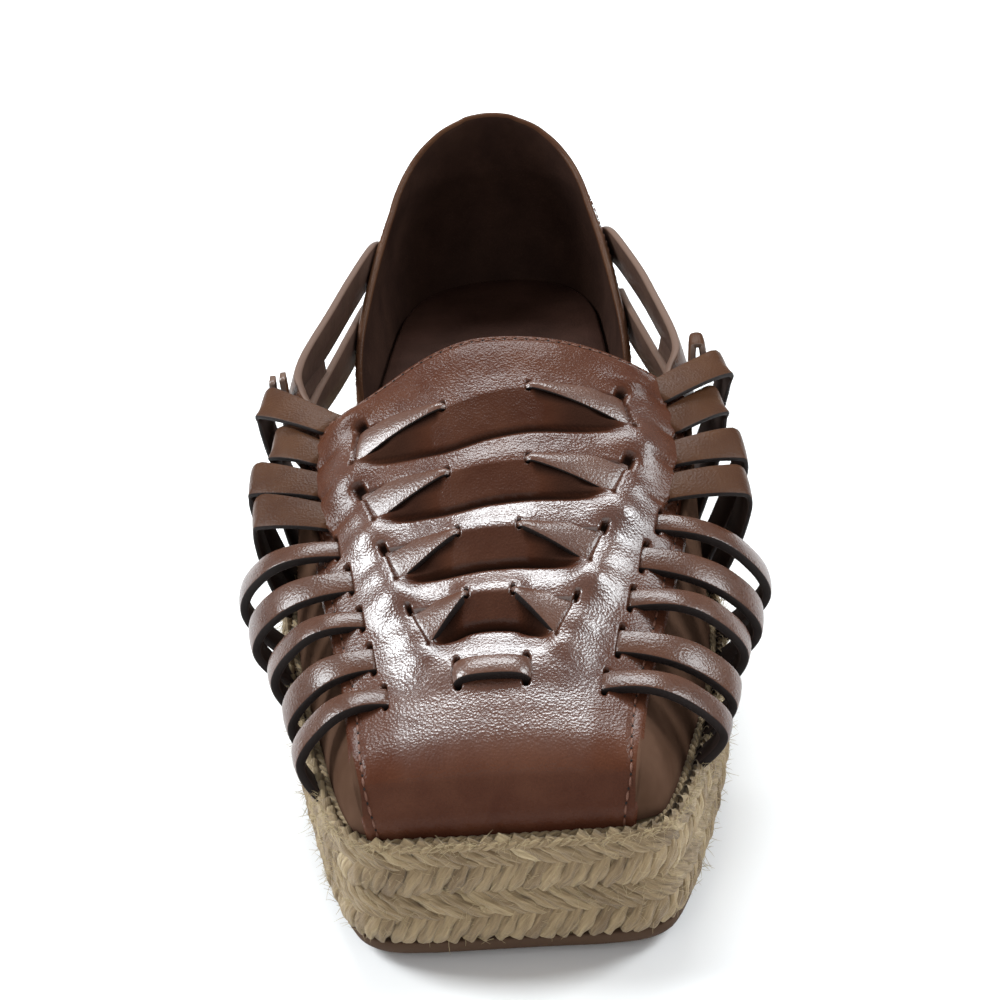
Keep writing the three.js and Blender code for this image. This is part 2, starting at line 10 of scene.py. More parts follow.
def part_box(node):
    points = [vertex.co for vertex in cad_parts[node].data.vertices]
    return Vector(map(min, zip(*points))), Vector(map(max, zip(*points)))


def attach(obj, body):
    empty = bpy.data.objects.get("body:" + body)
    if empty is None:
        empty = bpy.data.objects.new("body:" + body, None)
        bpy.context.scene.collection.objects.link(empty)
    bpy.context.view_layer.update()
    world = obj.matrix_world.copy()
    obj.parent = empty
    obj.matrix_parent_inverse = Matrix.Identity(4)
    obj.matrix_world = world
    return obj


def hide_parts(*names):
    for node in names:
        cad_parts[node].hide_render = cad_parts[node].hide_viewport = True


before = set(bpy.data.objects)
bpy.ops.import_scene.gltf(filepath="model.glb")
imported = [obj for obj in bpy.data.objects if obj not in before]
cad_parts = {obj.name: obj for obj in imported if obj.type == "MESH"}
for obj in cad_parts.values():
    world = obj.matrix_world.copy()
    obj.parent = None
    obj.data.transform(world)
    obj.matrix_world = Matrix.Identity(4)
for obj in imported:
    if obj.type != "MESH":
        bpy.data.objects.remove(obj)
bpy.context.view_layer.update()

MM = 0.001
LATERAL = -1
MEDIAL = 1
SIDES = {LATERAL: "lateral", MEDIAL: "medial"}

# Sole, in millimetres
SOLE_LENGTH = 249
BALL_WIDTH = 91
OUTSOLE_THICKNESS = 3.3
BRAID_ROWS = 2
BRAID_HEIGHT = 10.8
JOIN_GAP = 0.3
TOE_SPRING = 2.6
SPRING_RUN = 58
SOLE_HEIGHT = OUTSOLE_THICKNESS + JOIN_GAP + BRAID_ROWS * BRAID_HEIGHT
INSOLE_THICKNESS = 2.4
INSOLE_INSET = 5.6
INSOLE_FRONT = 6
SPINE_END = 45

# Outline of the sole: shares of its length, and of the ball width on each side of the middle line
OUTLINE = (
    (0, 0.143, 0.187), (0.003, 0.225, 0.269), (0.013, 0.281, 0.325), (0.031, 0.318, 0.358),
    (0.064, 0.354, 0.391), (0.12, 0.393, 0.431), (0.193, 0.44, 0.473), (0.273, 0.482, 0.499),
    (0.353, 0.5, 0.49), (0.434, 0.492, 0.466), (0.534, 0.455, 0.424), (0.635, 0.415, 0.385),
    (0.735, 0.387, 0.362), (0.835, 0.362, 0.345), (0.896, 0.338, 0.327), (0.944, 0.288, 0.28),
    (0.976, 0.212, 0.208), (0.994, 0.116, 0.114), (1, 0.038, 0.038),
)

# Upper, in millimetres
LEATHER = 1.8
THROAT_ALONG = 102
INSTEP_RISE = 51.4
COUNTER_RISE = 50
COUNTER_LENGTH = 82
UPPER_INSET = 3.4
QUARTER_WIDTH = 9
QUARTER_ROUND = 3
END_MARGIN = 1.9
END_REACH = 15
LATERAL_ARCH = 1.7
MEDIAL_ARCH = 2.2
DIP_PLACE = 1.3

# Vamp panel from the toe to the throat: along and rise, half widths, drops and sweeps of both edges, dip
PANEL = (
    (0.035, -0.03, 0.247, 0.262, 0, 0, 0, 0, 0),
    (0.028, 0.079, 0.257, 0.27, 0.004, 0.004, 0, 0, 0),
    (0.039, 0.158, 0.267, 0.279, 0.016, 0.016, 0, 0, 0),
    (0.065, 0.236, 0.275, 0.286, 0.027, 0.027, 0, 0, 0),
    (0.114, 0.295, 0.281, 0.291, 0.047, 0.047, 0, 0, 0),
    (0.182, 0.335, 0.288, 0.299, 0.074, 0.07, 0, 0, 0),
    (0.271, 0.383, 0.299, 0.316, 0.105, 0.097, 0, 0, 0),
    (0.388, 0.477, 0.325, 0.349, 0.144, 0.132, 0, 0, 0),
    (0.525, 0.595, 0.357, 0.389, 0.206, 0.185, 0.001, 0.002, 0),
    (0.673, 0.728, 0.391, 0.433, 0.282, 0.243, 0.003, 0.006, 0.006),
    (0.82, 0.86, 0.424, 0.462, 0.362, 0.311, 0.007, 0.014, 0.016),
    (0.937, 0.957, 0.445, 0.475, 0.42, 0.366, 0.012, 0.024, 0.034),
    (1, 1, 0.451, 0.479, 0.451, 0.393, 0.014, 0.03, 0.045),
)
PANEL_TOP_START = 2
PANEL_PAST_EDGE = 0.4

# Woven rows: along and across of the outer slit's two ends and of the inner hole, band edge, lateral skew
ROWS = (
    (92.2, 0.63, 84.6, 0.685, 88.6, 0.21, 79.4, 3.2),
    (76, 0.675, 67.2, 0.615, 71.8, 0.205, 64.4, 1.6),
    (59.4, 0.595, 51, 0.535, 57.3, 0.165, 50.5, 0.6),
    (43.4, 0.49, 34.8, 0.39, 43.3, 0.135, 37.6, 0),
)
WEDGE_TIP = 1.4
LOOP_FRONT = 24.6
LOOP_BACK = 29.6
LOOP_ACROSS = 0.22
LOOP_LIFT = 2.2
LOOP_END = 1.22
LOOP_SINK = 1.6

# Slits of the side straps from the throat to the toe: along, across, width
SLITS = (
    (98.3, 0.8, 6.8), (91.2, 0.85, 6.8), (83, 0.875, 6.9), (73.6, 0.865, 6.9), (64.3, 0.85, 4.4),
    (55.1, 0.81, 5.6), (44.9, 0.785, 4.2), (35.1, 0.765, 5.4), (25.5, 0.715, 4.4),
)
STRAP_SINK = 0.7

# Side straps: reach and arch up to the bend, its place, distance out, rise and roundness,
# place and inset of the foot, bulge below the bend, tilt of the crest, width
LATERAL_STRAPS = (
    (0.5, 2.2, 111.6, 3.4, 34.4, 0.28, 120, 2.6, 2, 12, 8.4),
    (0.5, 1.8, 100.4, -1, 30.6, 0.28, 108, 2.6, 2, 15, 8.8),
    (0.5, 1.6, 91, 3.2, 27.4, 0.28, 97, 2.6, 2, 15, 8.8),
    (0.5, 1.6, 81.4, 2, 25.2, 0.28, 86.5, 2.6, 2, 15, 8.8),
    (0.36, 5.4, 69.5, 5.8, 15.6, 0.5, 71, 2.2, 4, 2, 5.8),
    (0.4, 4.2, 58.5, 4.2, 14.2, 0.5, 60, 2.2, 4, 14, 6.8),
    (0.36, 5, 47.4, 1.6, 12.6, 0.5, 48.5, 2.2, 3.5, 2, 5.6),
    (0.4, 3.8, 35.6, 0.2, 10.4, 0.5, 35.5, 1.8, 3, 14, 6.6),
    (0.36, 4.6, 24.2, 0.8, 8.6, 0.5, 22, 1.2, 2.5, 2, 5.6),
)
MEDIAL_STRAPS = (
    (0.5, 2.2, 113.8, 8.4, 35.4, 0.28, 121, 2.6, 2, 6, 8),
    (0.5, 1.8, 105, 5.2, 31.6, 0.28, 110, 2.6, 2, 10, 8),
    (0.5, 1.8, 90.2, 6.8, 28.6, 0.28, 97, 2.6, 2, 18, 8.8),
    (0.5, 1.8, 79.8, 5.8, 26, 0.28, 86, 2.6, 2, 14, 8.6),
    (0.36, 5.6, 66.5, 8.2, 13.2, 0.5, 68, 2.4, 4, 2, 5.8),
    (0.4, 4.4, 56.2, 6.2, 12.8, 0.5, 57, 2.4, 4, 14, 6.8),
    (0.36, 6.2, 47, 4, 12.6, 0.5, 48.5, 2.4, 3.5, 2, 5.6),
    (0.4, 4.2, 34.8, 3.6, 9.8, 0.5, 34.5, 2.4, 3, 14, 6.6),
    (0.36, 5.6, 25.4, 3.6, 8.2, 0.5, 24.5, 2.4, 2.5, 2, 5.6),
)
STRAPS = {LATERAL: LATERAL_STRAPS, MEDIAL: MEDIAL_STRAPS}
LOOPS_FROM = 4
THIN_STRAP = 1.1

# Smooth lining between the edge of the vamp and the sole
LINING_THICKNESS = 1.2
LINING_INSET = 3.5
LINING_SINK = 0.9
LINING_ACROSS = 0.97
LINING_START = 0.3
LINING_SHIFT = 4.2
LINING_BACK_SHIFT = 10
LINING_SWELL = 2.4
LINING_LIFT = 0.5

# Quarter straps from the counter forward: along, insets on each side, rise, lean
UPPER_QUARTER = (
    (214, 3.2, 3.2, 23.5, 0.1), (203, 2.2, 1.2, 26, 0.1), (168, 0.3, -2.4, 28.4, 0.1),
    (132, -0.5, -2.4, 30, 0.2), (116, 2.2, 1.2, 31, 0.6), (100, 9.8, 7.6, 31, 1),
)
LOWER_QUARTER = (
    (200, 1.2, 1.2, 13, 0), (190, 0.8, 0.8, 14, 0), (160, -0.2, -1.4, 16.5, 0.1),
    (134, 0.4, -1.6, 20, 0.3), (118, 2.6, 1.4, 23.5, 0.5), (103, 8.6, 6.4, 27, 0.9),
)
TAB_BACK = 152
TAB_FRONT = 106
TAB_THICKNESS = 1.2
FOLD_THICKNESS = 1.3
FOLDS = {
    LATERAL: (((42.3, 116.4, 54), (42.7, 117.4, 59), (43, 118, 62.8)),
              ((45, 116.4, 54), (45.1, 117.2, 58), (45.2, 117.8, 62.2))),
    MEDIAL: (((41.8, 116, 56), (42.3, 117.2, 61), (42.6, 118, 64.4), (43.2, 118.3, 65.4),
              (45, 118.3, 65.4), (45.7, 118, 64.4), (46, 117.2, 61), (46.2, 116.4, 57)),),
}
FOLD_WIDTH = {LATERAL: 3.2, MEDIAL: 4.4}
COUNTER_EDGE = (
    (0, 0.05), (0.03, 0.17), (0.07, 0.27), (0.14, 0.37), (0.28, 0.5),
    (0.46, 0.65), (0.64, 0.8), (0.8, 0.92), (0.92, 0.985), (1, 1),
)
COUNTER_SWELL = 2
SWELL_HEIGHT = 34
COUNTER_LEAN = 5.2
COUNTER_WAVE = 0.18
COUNTER_SEAM = 2.4
SEAM_START = 9


def linear(red, green, blue):
    """Linear colour of an sRGB colour in 0 to 255."""
    def one(value):
        share = value / 255
        return share / 12.92 if share <= 0.04045 else ((share + 0.055) / 1.055) ** 2.4
    return (one(red), one(green), one(blue), 1.0)


def smooth(low, high, value):
    share = np.clip((value - low) / (high - low), 0, 1)
    return share * share * (3 - 2 * share)


def unit(vectors):
    return vectors / np.maximum(np.linalg.norm(vectors, axis=-1, keepdims=True), 1e-9)


def read_rows(table, position):
    """Smooth values of a table between its rows."""
    rows = np.asarray(table, float)
    position = np.asarray(position, float)
    last = len(rows) - 1
    index = np.clip(np.floor(position).astype(int), 0, last - 1)
    t = (position - index)[..., None]
    b, c = rows[index], rows[index + 1]
    a = np.where((index > 0)[..., None], rows[np.maximum(index - 1, 0)], 2 * b - c)
    d = np.where((index < last - 1)[..., None], rows[np.minimum(index + 2, last)], 2 * c - b)
    square = (2 * a - 5 * b + 4 * c - d) * t ** 2
    cube = (3 * b - a - 3 * c + d) * t ** 3
    return 0.5 * (2 * b + (c - a) * t + square + cube)


def halve(is_below, low, high, rounds):
    """Places between two bounds at which a test turns false."""
    for _ in range(rounds):
        middle = (low + high) / 2
        below = is_below(middle)
        low = np.where(below, middle, low)
        high = np.where(below, high, middle)
    return (low + high) / 2


def find_row(table, value):
    """Row position at which the first column reaches a value."""
    value = np.asarray(value, float)
    return halve(lambda place: read_rows(table, place)[..., 0] < value,
                 np.zeros(value.shape), np.full(value.shape, len(table) - 1.0), 40)


def path_marks(points):
    """Distances of the points of a line from its start."""
    return np.concatenate(([0], np.cumsum(np.linalg.norm(np.diff(points, axis=0), axis=1))))


def read_line(at, marks, values, period=None):
    """Values along a line at distances from its start."""
    return np.stack([np.interp(at, marks, column, period=period) for column in values.T], -1)


def spring(along):
    left = np.maximum(0, 1 - np.maximum(along, 0) / SPRING_RUN)
    return TOE_SPRING * left * left


def sole_top(along):
    return SOLE_HEIGHT + spring(along)


def raised(flat, height):
    """Points over flat ones, at a height that follows the toe spring."""
    return np.concatenate((flat, (height + spring(flat[..., 1]))[..., None]), -1)


def level_out(outward):
    """Outward directions as level vectors."""
    return np.concatenate((outward, np.zeros_like(outward[..., :1])), -1)


def middle_line(flat):
    """Places on the middle line of the sole beside flat points."""
    along = np.clip(flat[:, 1], SPINE_END, SOLE_LENGTH - SPINE_END)
    return np.column_stack((np.zeros(len(flat)), along))


def outline_side(side, along, inset):
    """Point, run and outward direction of one side of the outline."""
    position = find_row(OUTLINE, np.asarray(along, float) / SOLE_LENGTH)
    column = 1 if side == LATERAL else 2

    def at(place):
        row = read_rows(OUTLINE, place)
        return np.stack((side * row[..., column] * BALL_WIDTH, row[..., 0] * SOLE_LENGTH), -1)
    run = unit(at(position + 0.02) - at(position - 0.02))
    outward = np.stack((side * run[..., 1], -side * run[..., 0]), -1)
    return at(position) - outward * np.asarray(inset)[..., None], run, outward


class Rim:
    """Edge of the sole: forward on the lateral side, over the toe and back on the medial side."""

    def __init__(self, samples=900):
        back = np.linspace(len(OUTLINE) - 1, 0, samples)
        lateral = read_rows(OUTLINE, back)
        medial = read_rows(OUTLINE, back[::-1])
        points = np.concatenate((
            np.stack((-lateral[:, 1] * BALL_WIDTH, lateral[:, 0] * SOLE_LENGTH), -1),
            np.stack((medial[:, 2] * BALL_WIDTH, medial[:, 0] * SOLE_LENGTH), -1)))
        closed = np.concatenate((points, points[:1]))
        marks = path_marks(closed)
        self.length = marks[-1]
        self.marks = np.linspace(0, self.length, 2400, endpoint=False)
        self.points = read_line(self.marks, marks, closed)
        run = unit(np.roll(self.points, -6, 0) - np.roll(self.points, 6, 0))
        self.outward = np.stack((run[:, 1], -run[:, 0]), -1)

    def at(self, place, inset):
        """Points and outward directions at places round the rim, set in from the edge."""
        outward = unit(read_line(place, self.marks, self.outward, self.length))
        points = read_line(place, self.marks, self.points, self.length)
        return points - outward * np.asarray(inset)[..., None], outward

    def round(self, count, inset):
        """Even places round the rim and their points, set in from the edge."""
        marks = np.linspace(0, self.length, count, endpoint=False)
        return marks, self.at(marks, inset)[0]


RIM = Rim()
SHIFT_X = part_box("midsole")[0].x / MM - RIM.points[:, 0].min()
SHIFT_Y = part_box("midsole")[0].y / MM


def to_frame(points):
    """Metres in the frame, from millimetres across, along and up."""
    return (np.asarray(points) + np.array((SHIFT_X, SHIFT_Y, 0))) * MM


def panel_point(position, across):
    row = read_rows(PANEL, position)
    wide = np.abs(across)
    outer = across < 0
    half = np.where(outer, row[..., 2], row[..., 3])
    edge_drop = np.where(outer, row[..., 4], row[..., 5])
    sweep = np.where(outer, row[..., 6], row[..., 7])
    arch = np.where(outer, LATERAL_ARCH, MEDIAL_ARCH)
    dip = np.where(outer, row[..., 8] * np.sin(np.pi * np.minimum(wide, 1.2) ** DIP_PLACE) ** 2, 0)
    along = (row[..., 0] + sweep * across - dip) * THROAT_ALONG
    height = sole_top(along) + (row[..., 1] - edge_drop * wide ** arch) * INSTEP_RISE
    return np.stack((half * across * BALL_WIDTH, along, height), -1)


def panel_normal(position, across):
    step = 0.02
    run = panel_point(position + step, across) - panel_point(position - step, across)
    over = panel_point(position, across + step) - panel_point(position, across - step)
    return unit(np.cross(over, run))


def panel_face(along, across, lift):
    """Points on the top face of the panel, lifted off its plain form."""
    along, across, lift = np.broadcast_arrays(
        np.asarray(along, float), np.asarray(across, float), np.asarray(lift, float))
    place = halve(lambda at: panel_point(at, across)[..., 1] < along,
                  np.full(along.shape, float(PANEL_TOP_START)),
                  np.full(along.shape, len(PANEL) - 1 + PANEL_PAST_EDGE), 30)
    return panel_point(place, across) + panel_normal(place, across) * lift[..., None]


def panel_up(along, across):
    """Direction off the face of the panel."""
    return panel_face(along, across, 1) - panel_face(along, across, 0)


def square_to(run, vectors):
    """Unit vectors at right angles to a run, as near as can be to the given ones."""
    return unit(vectors - run * np.sum(vectors * run, axis=-1, keepdims=True))


def ripples(first, second, longest, shortest, count, seed):
    """Gentle uneven waves between two wavelengths, about -1 to 1."""
    random = np.random.default_rng(seed)
    total = np.zeros(np.shape(first))
    for _ in range(count):
        turn = random.uniform(0, np.pi)
        length = random.uniform(shortest, longest)
        phase = random.uniform(0, 2 * np.pi)
        total += np.sin((first * np.cos(turn) + second * np.sin(turn)) * 2 * np.pi / length + phase)
    return total / math.sqrt(count)


class Piece:
    """Collects points, faces and their kinds of material for one object."""

    def __init__(self):
        self.points = []
        self.faces = []
        self.kinds = []
        self.values = {}
        self.uvs = []
        self.count = 0

    def add(self, points, faces, kinds=0, uvs=None, **values):
        points = np.asarray(points).reshape(-1, 3)
        faces = [np.asarray(face) + self.count for face in faces]
        self.points.append(points)
        self.faces.extend(face.tolist() for face in faces)
        self.kinds.extend(np.broadcast_to(kinds, len(faces)).tolist())
        for name, value in values.items():
            self.values.setdefault(name, []).append(np.broadcast_to(value, len(points)))
        if uvs is not None:
            self.uvs.append(np.asarray(uvs).reshape(-1, 2))
        self.count += len(points)

    def make(self, name, materials, slot, turn=True, node=None):
        mesh = bpy.data.meshes.new(name)
        mesh.from_pydata(to_frame(np.concatenate(self.points)).tolist(), [], self.faces)
        for material in materials:
            mesh.materials.append(material)
        mesh.polygons.foreach_set("material_index", self.kinds)
        mesh.polygons.foreach_set("use_smooth", [True] * len(self.faces))
        for key, parts in self.values.items():
            layer = mesh.attributes.new(key, "FLOAT", "POINT")
            layer.data.foreach_set("value", np.concatenate(parts).astype(np.float32))
        if self.uvs:
            uvs = np.concatenate(self.uvs)
            corners = np.empty(len(mesh.loops), int)
            mesh.loops.foreach_get("vertex_index", corners)
            layer = mesh.uv_layers.new(name="strand")
            layer.data.foreach_set("uv", uvs[corners].astype(np.float32).ravel())
        if turn:
            shape = bmesh.new()
            shape.from_mesh(mesh)
            bmesh.ops.recalc_face_normals(shape, faces=shape.faces)
            shape.to_mesh(mesh)
            shape.free()
        mesh.update()
        item = bpy.data.objects.new(name, mesh)
        bpy.context.scene.collection.objects.link(item)
        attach(item, "root")
        if node:
            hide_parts(node)
        return item


def grid_faces(rows, columns, closed=False):
    """Quads of a grid of points, joined round its columns if closed."""
    i, j = np.meshgrid(np.arange(rows - 1), np.arange(columns if closed else columns - 1), indexing="ij")
    after = (j + 1) % columns
    near, far = i * columns, (i + 1) * columns
    return np.stack((near + j, near + after, far + after, far + j), -1).reshape(-1, 4)


def make_rings(rings, *names, **options):
    """Piece whose surface runs through closed rings of points."""
    piece = Piece()
    piece.add(np.stack(rings), grid_faces(len(rings), len(rings[0]), True))
    piece.make(*names, **options)


LOW_EDGE = 0.25


def ribbon(edge_a, edge_b, up, thickness=LEATHER, crown=0.15, corner=0.5, columns=7, folded=False):
    """Strap with rounded edges whose top face runs between two edge lines: points, faces and kinds.

    The first edge of a folded strap is a fold, with no cut face."""
    centre = (edge_a + edge_b) / 2
    run = unit(np.gradient(centre, axis=0))
    wide = edge_b - edge_a
    half = np.linalg.norm(wide, axis=1, keepdims=True) / 2
    wide = unit(wide)
    face = unit(np.cross(wide, run))
    face *= np.sign(np.sum(face * up, axis=1, keepdims=True))
    corner = np.minimum(corner, half * 0.7)
    flat = half - corner
    low = LOW_EDGE
    section = []
    for t in np.linspace(-1, 1, columns):
        section.append((flat * t, np.full_like(half, crown * (1 - t * t)), 0))
    for turn in (30, 60, 90):
        a = math.radians(turn)
        section.append((flat + corner * math.sin(a), -corner * (1 - math.cos(a)), 0 if turn < 50 else 1))
    section.append((half, np.full_like(half, -thickness + low), 1))
    section.append((half - low, np.full_like(half, -thickness), 1))
    section.append((half * 0, np.full_like(half, -thickness), 2))
    section.append((low - half, np.full_like(half, -thickness), 2))
    first = 0 if folded else 1
    section.append((-half, np.full_like(half, -thickness + low), first))
    for turn in (90, 60, 30):
        a = math.radians(turn)
        section.append((-flat - corner * math.sin(a), -corner * (1 - math.cos(a)), first if turn > 40 else 0))
    ring = np.stack([centre + wide * across + face * lift for across, lift, _ in section], 1)
    rows, columns = ring.shape[:2]
    faces = grid_faces(rows, columns, True)
    marks = [kind for _, _, kind in section]
    strip = [max(marks[k], marks[(k + 1) % columns]) if 2 not in (marks[k], marks[(k + 1) % columns])
             else 2 for k in range(columns)]
    kinds = np.tile(strip, rows - 1).tolist() + [1, 1]
    ends = [np.arange(columns), (rows - 1) * columns + np.arange(columns)]
    return ring.reshape(-1, 3), list(faces) + ends, kinds


# Materials

def shader(name):
    material = bpy.data.materials.new(name)
    material.use_nodes = True
    tree = material.node_tree
    return material, tree.nodes, tree.links, tree.nodes["Principled BSDF"]


def add_node(nodes, kind, **settings):
    node = nodes.new(kind)
    for key, value in settings.items():
        if hasattr(node, key):
            setattr(node, key, value)
        else:
            node.inputs[key].default_value = value
    return node


def ramp(nodes, stops):
    node = nodes.new("ShaderNodeValToRGB")
    elements = node.color_ramp.elements
    while len(elements) < len(stops):
        elements.new(0.5)
    for element, (place, colour) in zip(elements, stops):
        element.position = place
        element.color = colour
    return node


def grey(value):
    return (value, value, value, 1.0)


def texture(nodes, links, place, kind, **settings):
    node = add_node(nodes, kind, **settings)
    links.new(place, node.inputs["Vector"])
    return node


def bumped(nodes, links, height, strength, distance, below=None):
    """Normal of a bump, laid on the one below it if there is one."""
    node = add_node(nodes, "ShaderNodeBump", Strength=strength, Distance=distance)
    links.new(height, node.inputs["Height"])
    if below is not None:
        links.new(below, node.inputs["Normal"])
    return node.outputs["Normal"]


# Grain of leather: kind, settings and output of its texture, strength and depth in metres of its bump
NOISE = "ShaderNodeTexNoise"
CELLS = "ShaderNodeTexVoronoi"
GRAIN = (
    (CELLS, {"feature": "SMOOTH_F1", "Scale": 2000.0, "Smoothness": 0.4}, "Distance", 0.19, 0.0004),
    (NOISE, {"Scale": 2600.0, "Detail": 2.0}, "Fac", 0.15, 0.0002),
    (NOISE, {"Scale": 560.0, "Detail": 4.0, "Roughness": 0.62}, "Fac", 0.05, 0.0005),
)
CLOUD = {"Scale": 85.0, "Detail": 3.0, "Roughness": 0.6}
COAT_ROUGHNESS = 0.2
POLISH_RANGE = 0.03
# Painted shade: colour mixed in where shade falls in creases, slits, holes and under the flaps
PAINTED_SHADE_COLOUR = linear(26, 18, 15)


def leather(name, dark, light, roughness, coat, grain, shade=False, specular=0.3):
    """Finished leather: cloudy colour, fine cells of grain and a soft polish; with shade, the shade mark
    paints shade into the colour and takes away the polish.
    """
    material, nodes, links, surface = shader(name)
    place = nodes.new("ShaderNodeTexCoord").outputs["Object"]
    cloud = texture(nodes, links, place, NOISE, **CLOUD)
    tint = ramp(nodes, ((0.32, dark), (0.68, light)))
    links.new(cloud.outputs["Fac"], tint.inputs["Fac"])
    normal = None
    for kind, settings, output, strength, depth in GRAIN:
        layer = texture(nodes, links, place, kind, **settings)
        normal = bumped(nodes, links, layer.outputs[output], strength * grain, depth, normal)
    links.new(normal, surface.inputs["Normal"])
    polish = ramp(nodes, ((0.3, grey(roughness - POLISH_RANGE)), (0.7, grey(roughness + POLISH_RANGE))))
    links.new(layer.outputs["Fac"], polish.inputs["Fac"])
    links.new(polish.outputs["Color"], surface.inputs["Roughness"])
    surface.inputs["Coat Weight"].default_value = coat
    surface.inputs["Coat Roughness"].default_value = COAT_ROUGHNESS
    surface.inputs["Specular IOR Level"].default_value = specular
    colour = tint.outputs["Color"]
    if shade:
        # Painted shade: the shade mark mixes the colour towards the painted shade colour
        mark = add_node(nodes, "ShaderNodeAttribute", attribute_name="shade")
        mix = add_node(nodes, "ShaderNodeMix", data_type="RGBA")
        links.new(mark.outputs["Fac"], mix.inputs["Factor"])
        links.new(colour, mix.inputs["A"])
        mix.inputs["B"].default_value = PAINTED_SHADE_COLOUR
        colour = mix.outputs["Result"]
        # Where shade is painted the polish is taken away too, so painted shade carries no sheen; worn places
        # are less polished
        gloss = add_node(nodes, "ShaderNodeAttribute", attribute_name="gloss")
        for socket, full in (("Specular IOR Level", specular), ("Coat Weight", coat)):
            part = add_node(nodes, "ShaderNodeMath", operation="MULTIPLY")
            links.new(gloss.outputs["Fac"], part.inputs[0])
            part.inputs[1].default_value = full
            links.new(part.outputs["Value"], surface.inputs[socket])
    links.new(colour, surface.inputs["Base Color"])
    return material


def plain(name, colour, roughness, bump_scale=0.0, strength=0.2, distance=0.0002, specular=0.4):
    material, nodes, links, surface = shader(name)
    surface.inputs["Base Color"].default_value = colour
    surface.inputs["Roughness"].default_value = roughness
    surface.inputs["Specular IOR Level"].default_value = specular
    if bump_scale:
        place = nodes.new("ShaderNodeTexCoord").outputs["Object"]
        noise = texture(nodes, links, place, NOISE, Scale=bump_scale, Detail=4.0, Roughness=0.6)
        links.new(bumped(nodes, links, noise.outputs["Fac"], strength, distance), surface.inputs["Normal"])
    return material


THREAD_LEAN = 24
THREAD_STRETCH = (0.2, 1.6, 1)
THREAD_DEPTH = 0.0007
TONE_SHARE = 0.45


def jute(name, dark, light, bright):
    """Twisted plant fibre: fine threads along each strand, a tone for each strand."""
    material, nodes, links, surface = shader(name)
    place = nodes.new("ShaderNodeUVMap")
    place.uv_map = "strand"
    turned = add_node(nodes, "ShaderNodeMapping")
    turned.inputs["Rotation"].default_value = (0, 0, math.radians(THREAD_LEAN))
    turned.inputs["Scale"].default_value = THREAD_STRETCH
    links.new(place.outputs["UV"], turned.inputs["Vector"])
    threads = texture(nodes, links, turned.outputs["Vector"], NOISE, Scale=1.0, Detail=5.0, Roughness=0.65)
    tone = add_node(nodes, "ShaderNodeAttribute", attribute_name="tone")
    join = add_node(nodes, "ShaderNodeMath", operation="MULTIPLY_ADD")
    links.new(tone.outputs["Fac"], join.inputs[0])
    join.inputs[1].default_value = TONE_SHARE
    links.new(threads.outputs["Fac"], join.inputs[2])
    tint = ramp(nodes, ((0.28, dark), (0.62, light), (0.95, bright)))
    links.new(join.outputs["Value"], tint.inputs["Fac"])
    links.new(tint.outputs["Color"], surface.inputs["Base Color"])
    links.new(bumped(nodes, links, threads.outputs["Fac"], 1.0, THREAD_DEPTH), surface.inputs["Normal"])
    surface.inputs["Roughness"].default_value = 0.72
    surface.inputs["Specular IOR Level"].default_value = 0.3
    surface.inputs["Sheen Weight"].default_value = 0.15
    return material


HIDE = leather(
    "brown leather", linear(67, 36, 24), linear(80, 48, 34), 0.28, 0.15, 1.0, shade=True, specular=0.95)
STRAP_HIDE = leather(
    "brown strap leather", linear(62, 37, 23), linear(74, 48, 31), 0.4, 0.0, 1.0, specular=0.08)
LOOP_HIDE = leather(
    "brown loop leather", linear(66, 39, 27), linear(80, 51, 37), 0.28, 0.0, 0.7, specular=0.36)
# Painted light: a lighter copy of the leather for the flaps and the front loop, standing in for the light
# their tops catch
LIT_FLAP_HIDE = leather(
    "brown flap leather painted lighter", linear(72, 43, 30), linear(86, 56, 42), 0.3, 0.0, 0.75, specular=0.6)
CUT = plain("dark cut edge", linear(25, 17, 15), 0.7, 900.0, specular=0.2)
UNDER = plain("strap back", linear(44, 30, 24), 0.75, 700.0)
# Edges of the quarter straps: burnished leather, made lighter in colour to paint in the thin sheen along them
BURNISHED_EDGE_SHEEN = plain("burnished edge with painted sheen", linear(98, 77, 66), 0.3, 900.0, 0.1)
INNER_HIDE = leather("inner face of the straps", linear(54, 38, 31), linear(69, 51, 42), 0.42, 0.1, 0.5)
LINING = leather("dark lining", linear(42, 28, 23), linear(54, 37, 30), 0.6, 0.0, 0.5, specular=0.04)
SIDE_LINING = leather(
    "smooth side lining", linear(68, 49, 38), linear(82, 61, 49), 0.45, 0.0, 0.05, specular=0.0)
FOOTBED = leather("footbed leather", linear(48, 31, 25), linear(60, 40, 33), 0.6, 0.0, 0.4, specular=0.04)
THREAD = plain("brown thread", linear(98, 62, 46), 0.6, 2500.0)
# Painted shade: dark beads between the stitches stand in for the shade inside each needle hole
NEEDLE_HOLE_SHADE = plain("needle hole painted shade", linear(20, 14, 11), 0.9)
JUTE = jute("jute strands", linear(111, 91, 65), linear(153, 132, 99), linear(187, 168, 132))
CORE = plain("jute core", linear(112, 94, 68), 0.95, 900.0, 0.6)
FIBRE = plain("loose fibre", linear(170, 153, 119), 0.7)
RUBBER = plain("brown rubber", linear(72, 54, 41), 0.75, 500.0, 0.25, specular=0.15)


# Vamp panel: plain form of the last, then the pull of every strap through its slits

def row_side(values, side):
    """Outer slit ends and inner hole of a woven row, as along and across."""
    outer, outer_across, low, low_across, inner, inner_across, band, skew = values
    back = skew if side == LATERAL else 0
    return ((outer - back, side * outer_across), (low - back, side * low_across),
            (inner - back, side * inner_across), band - back)


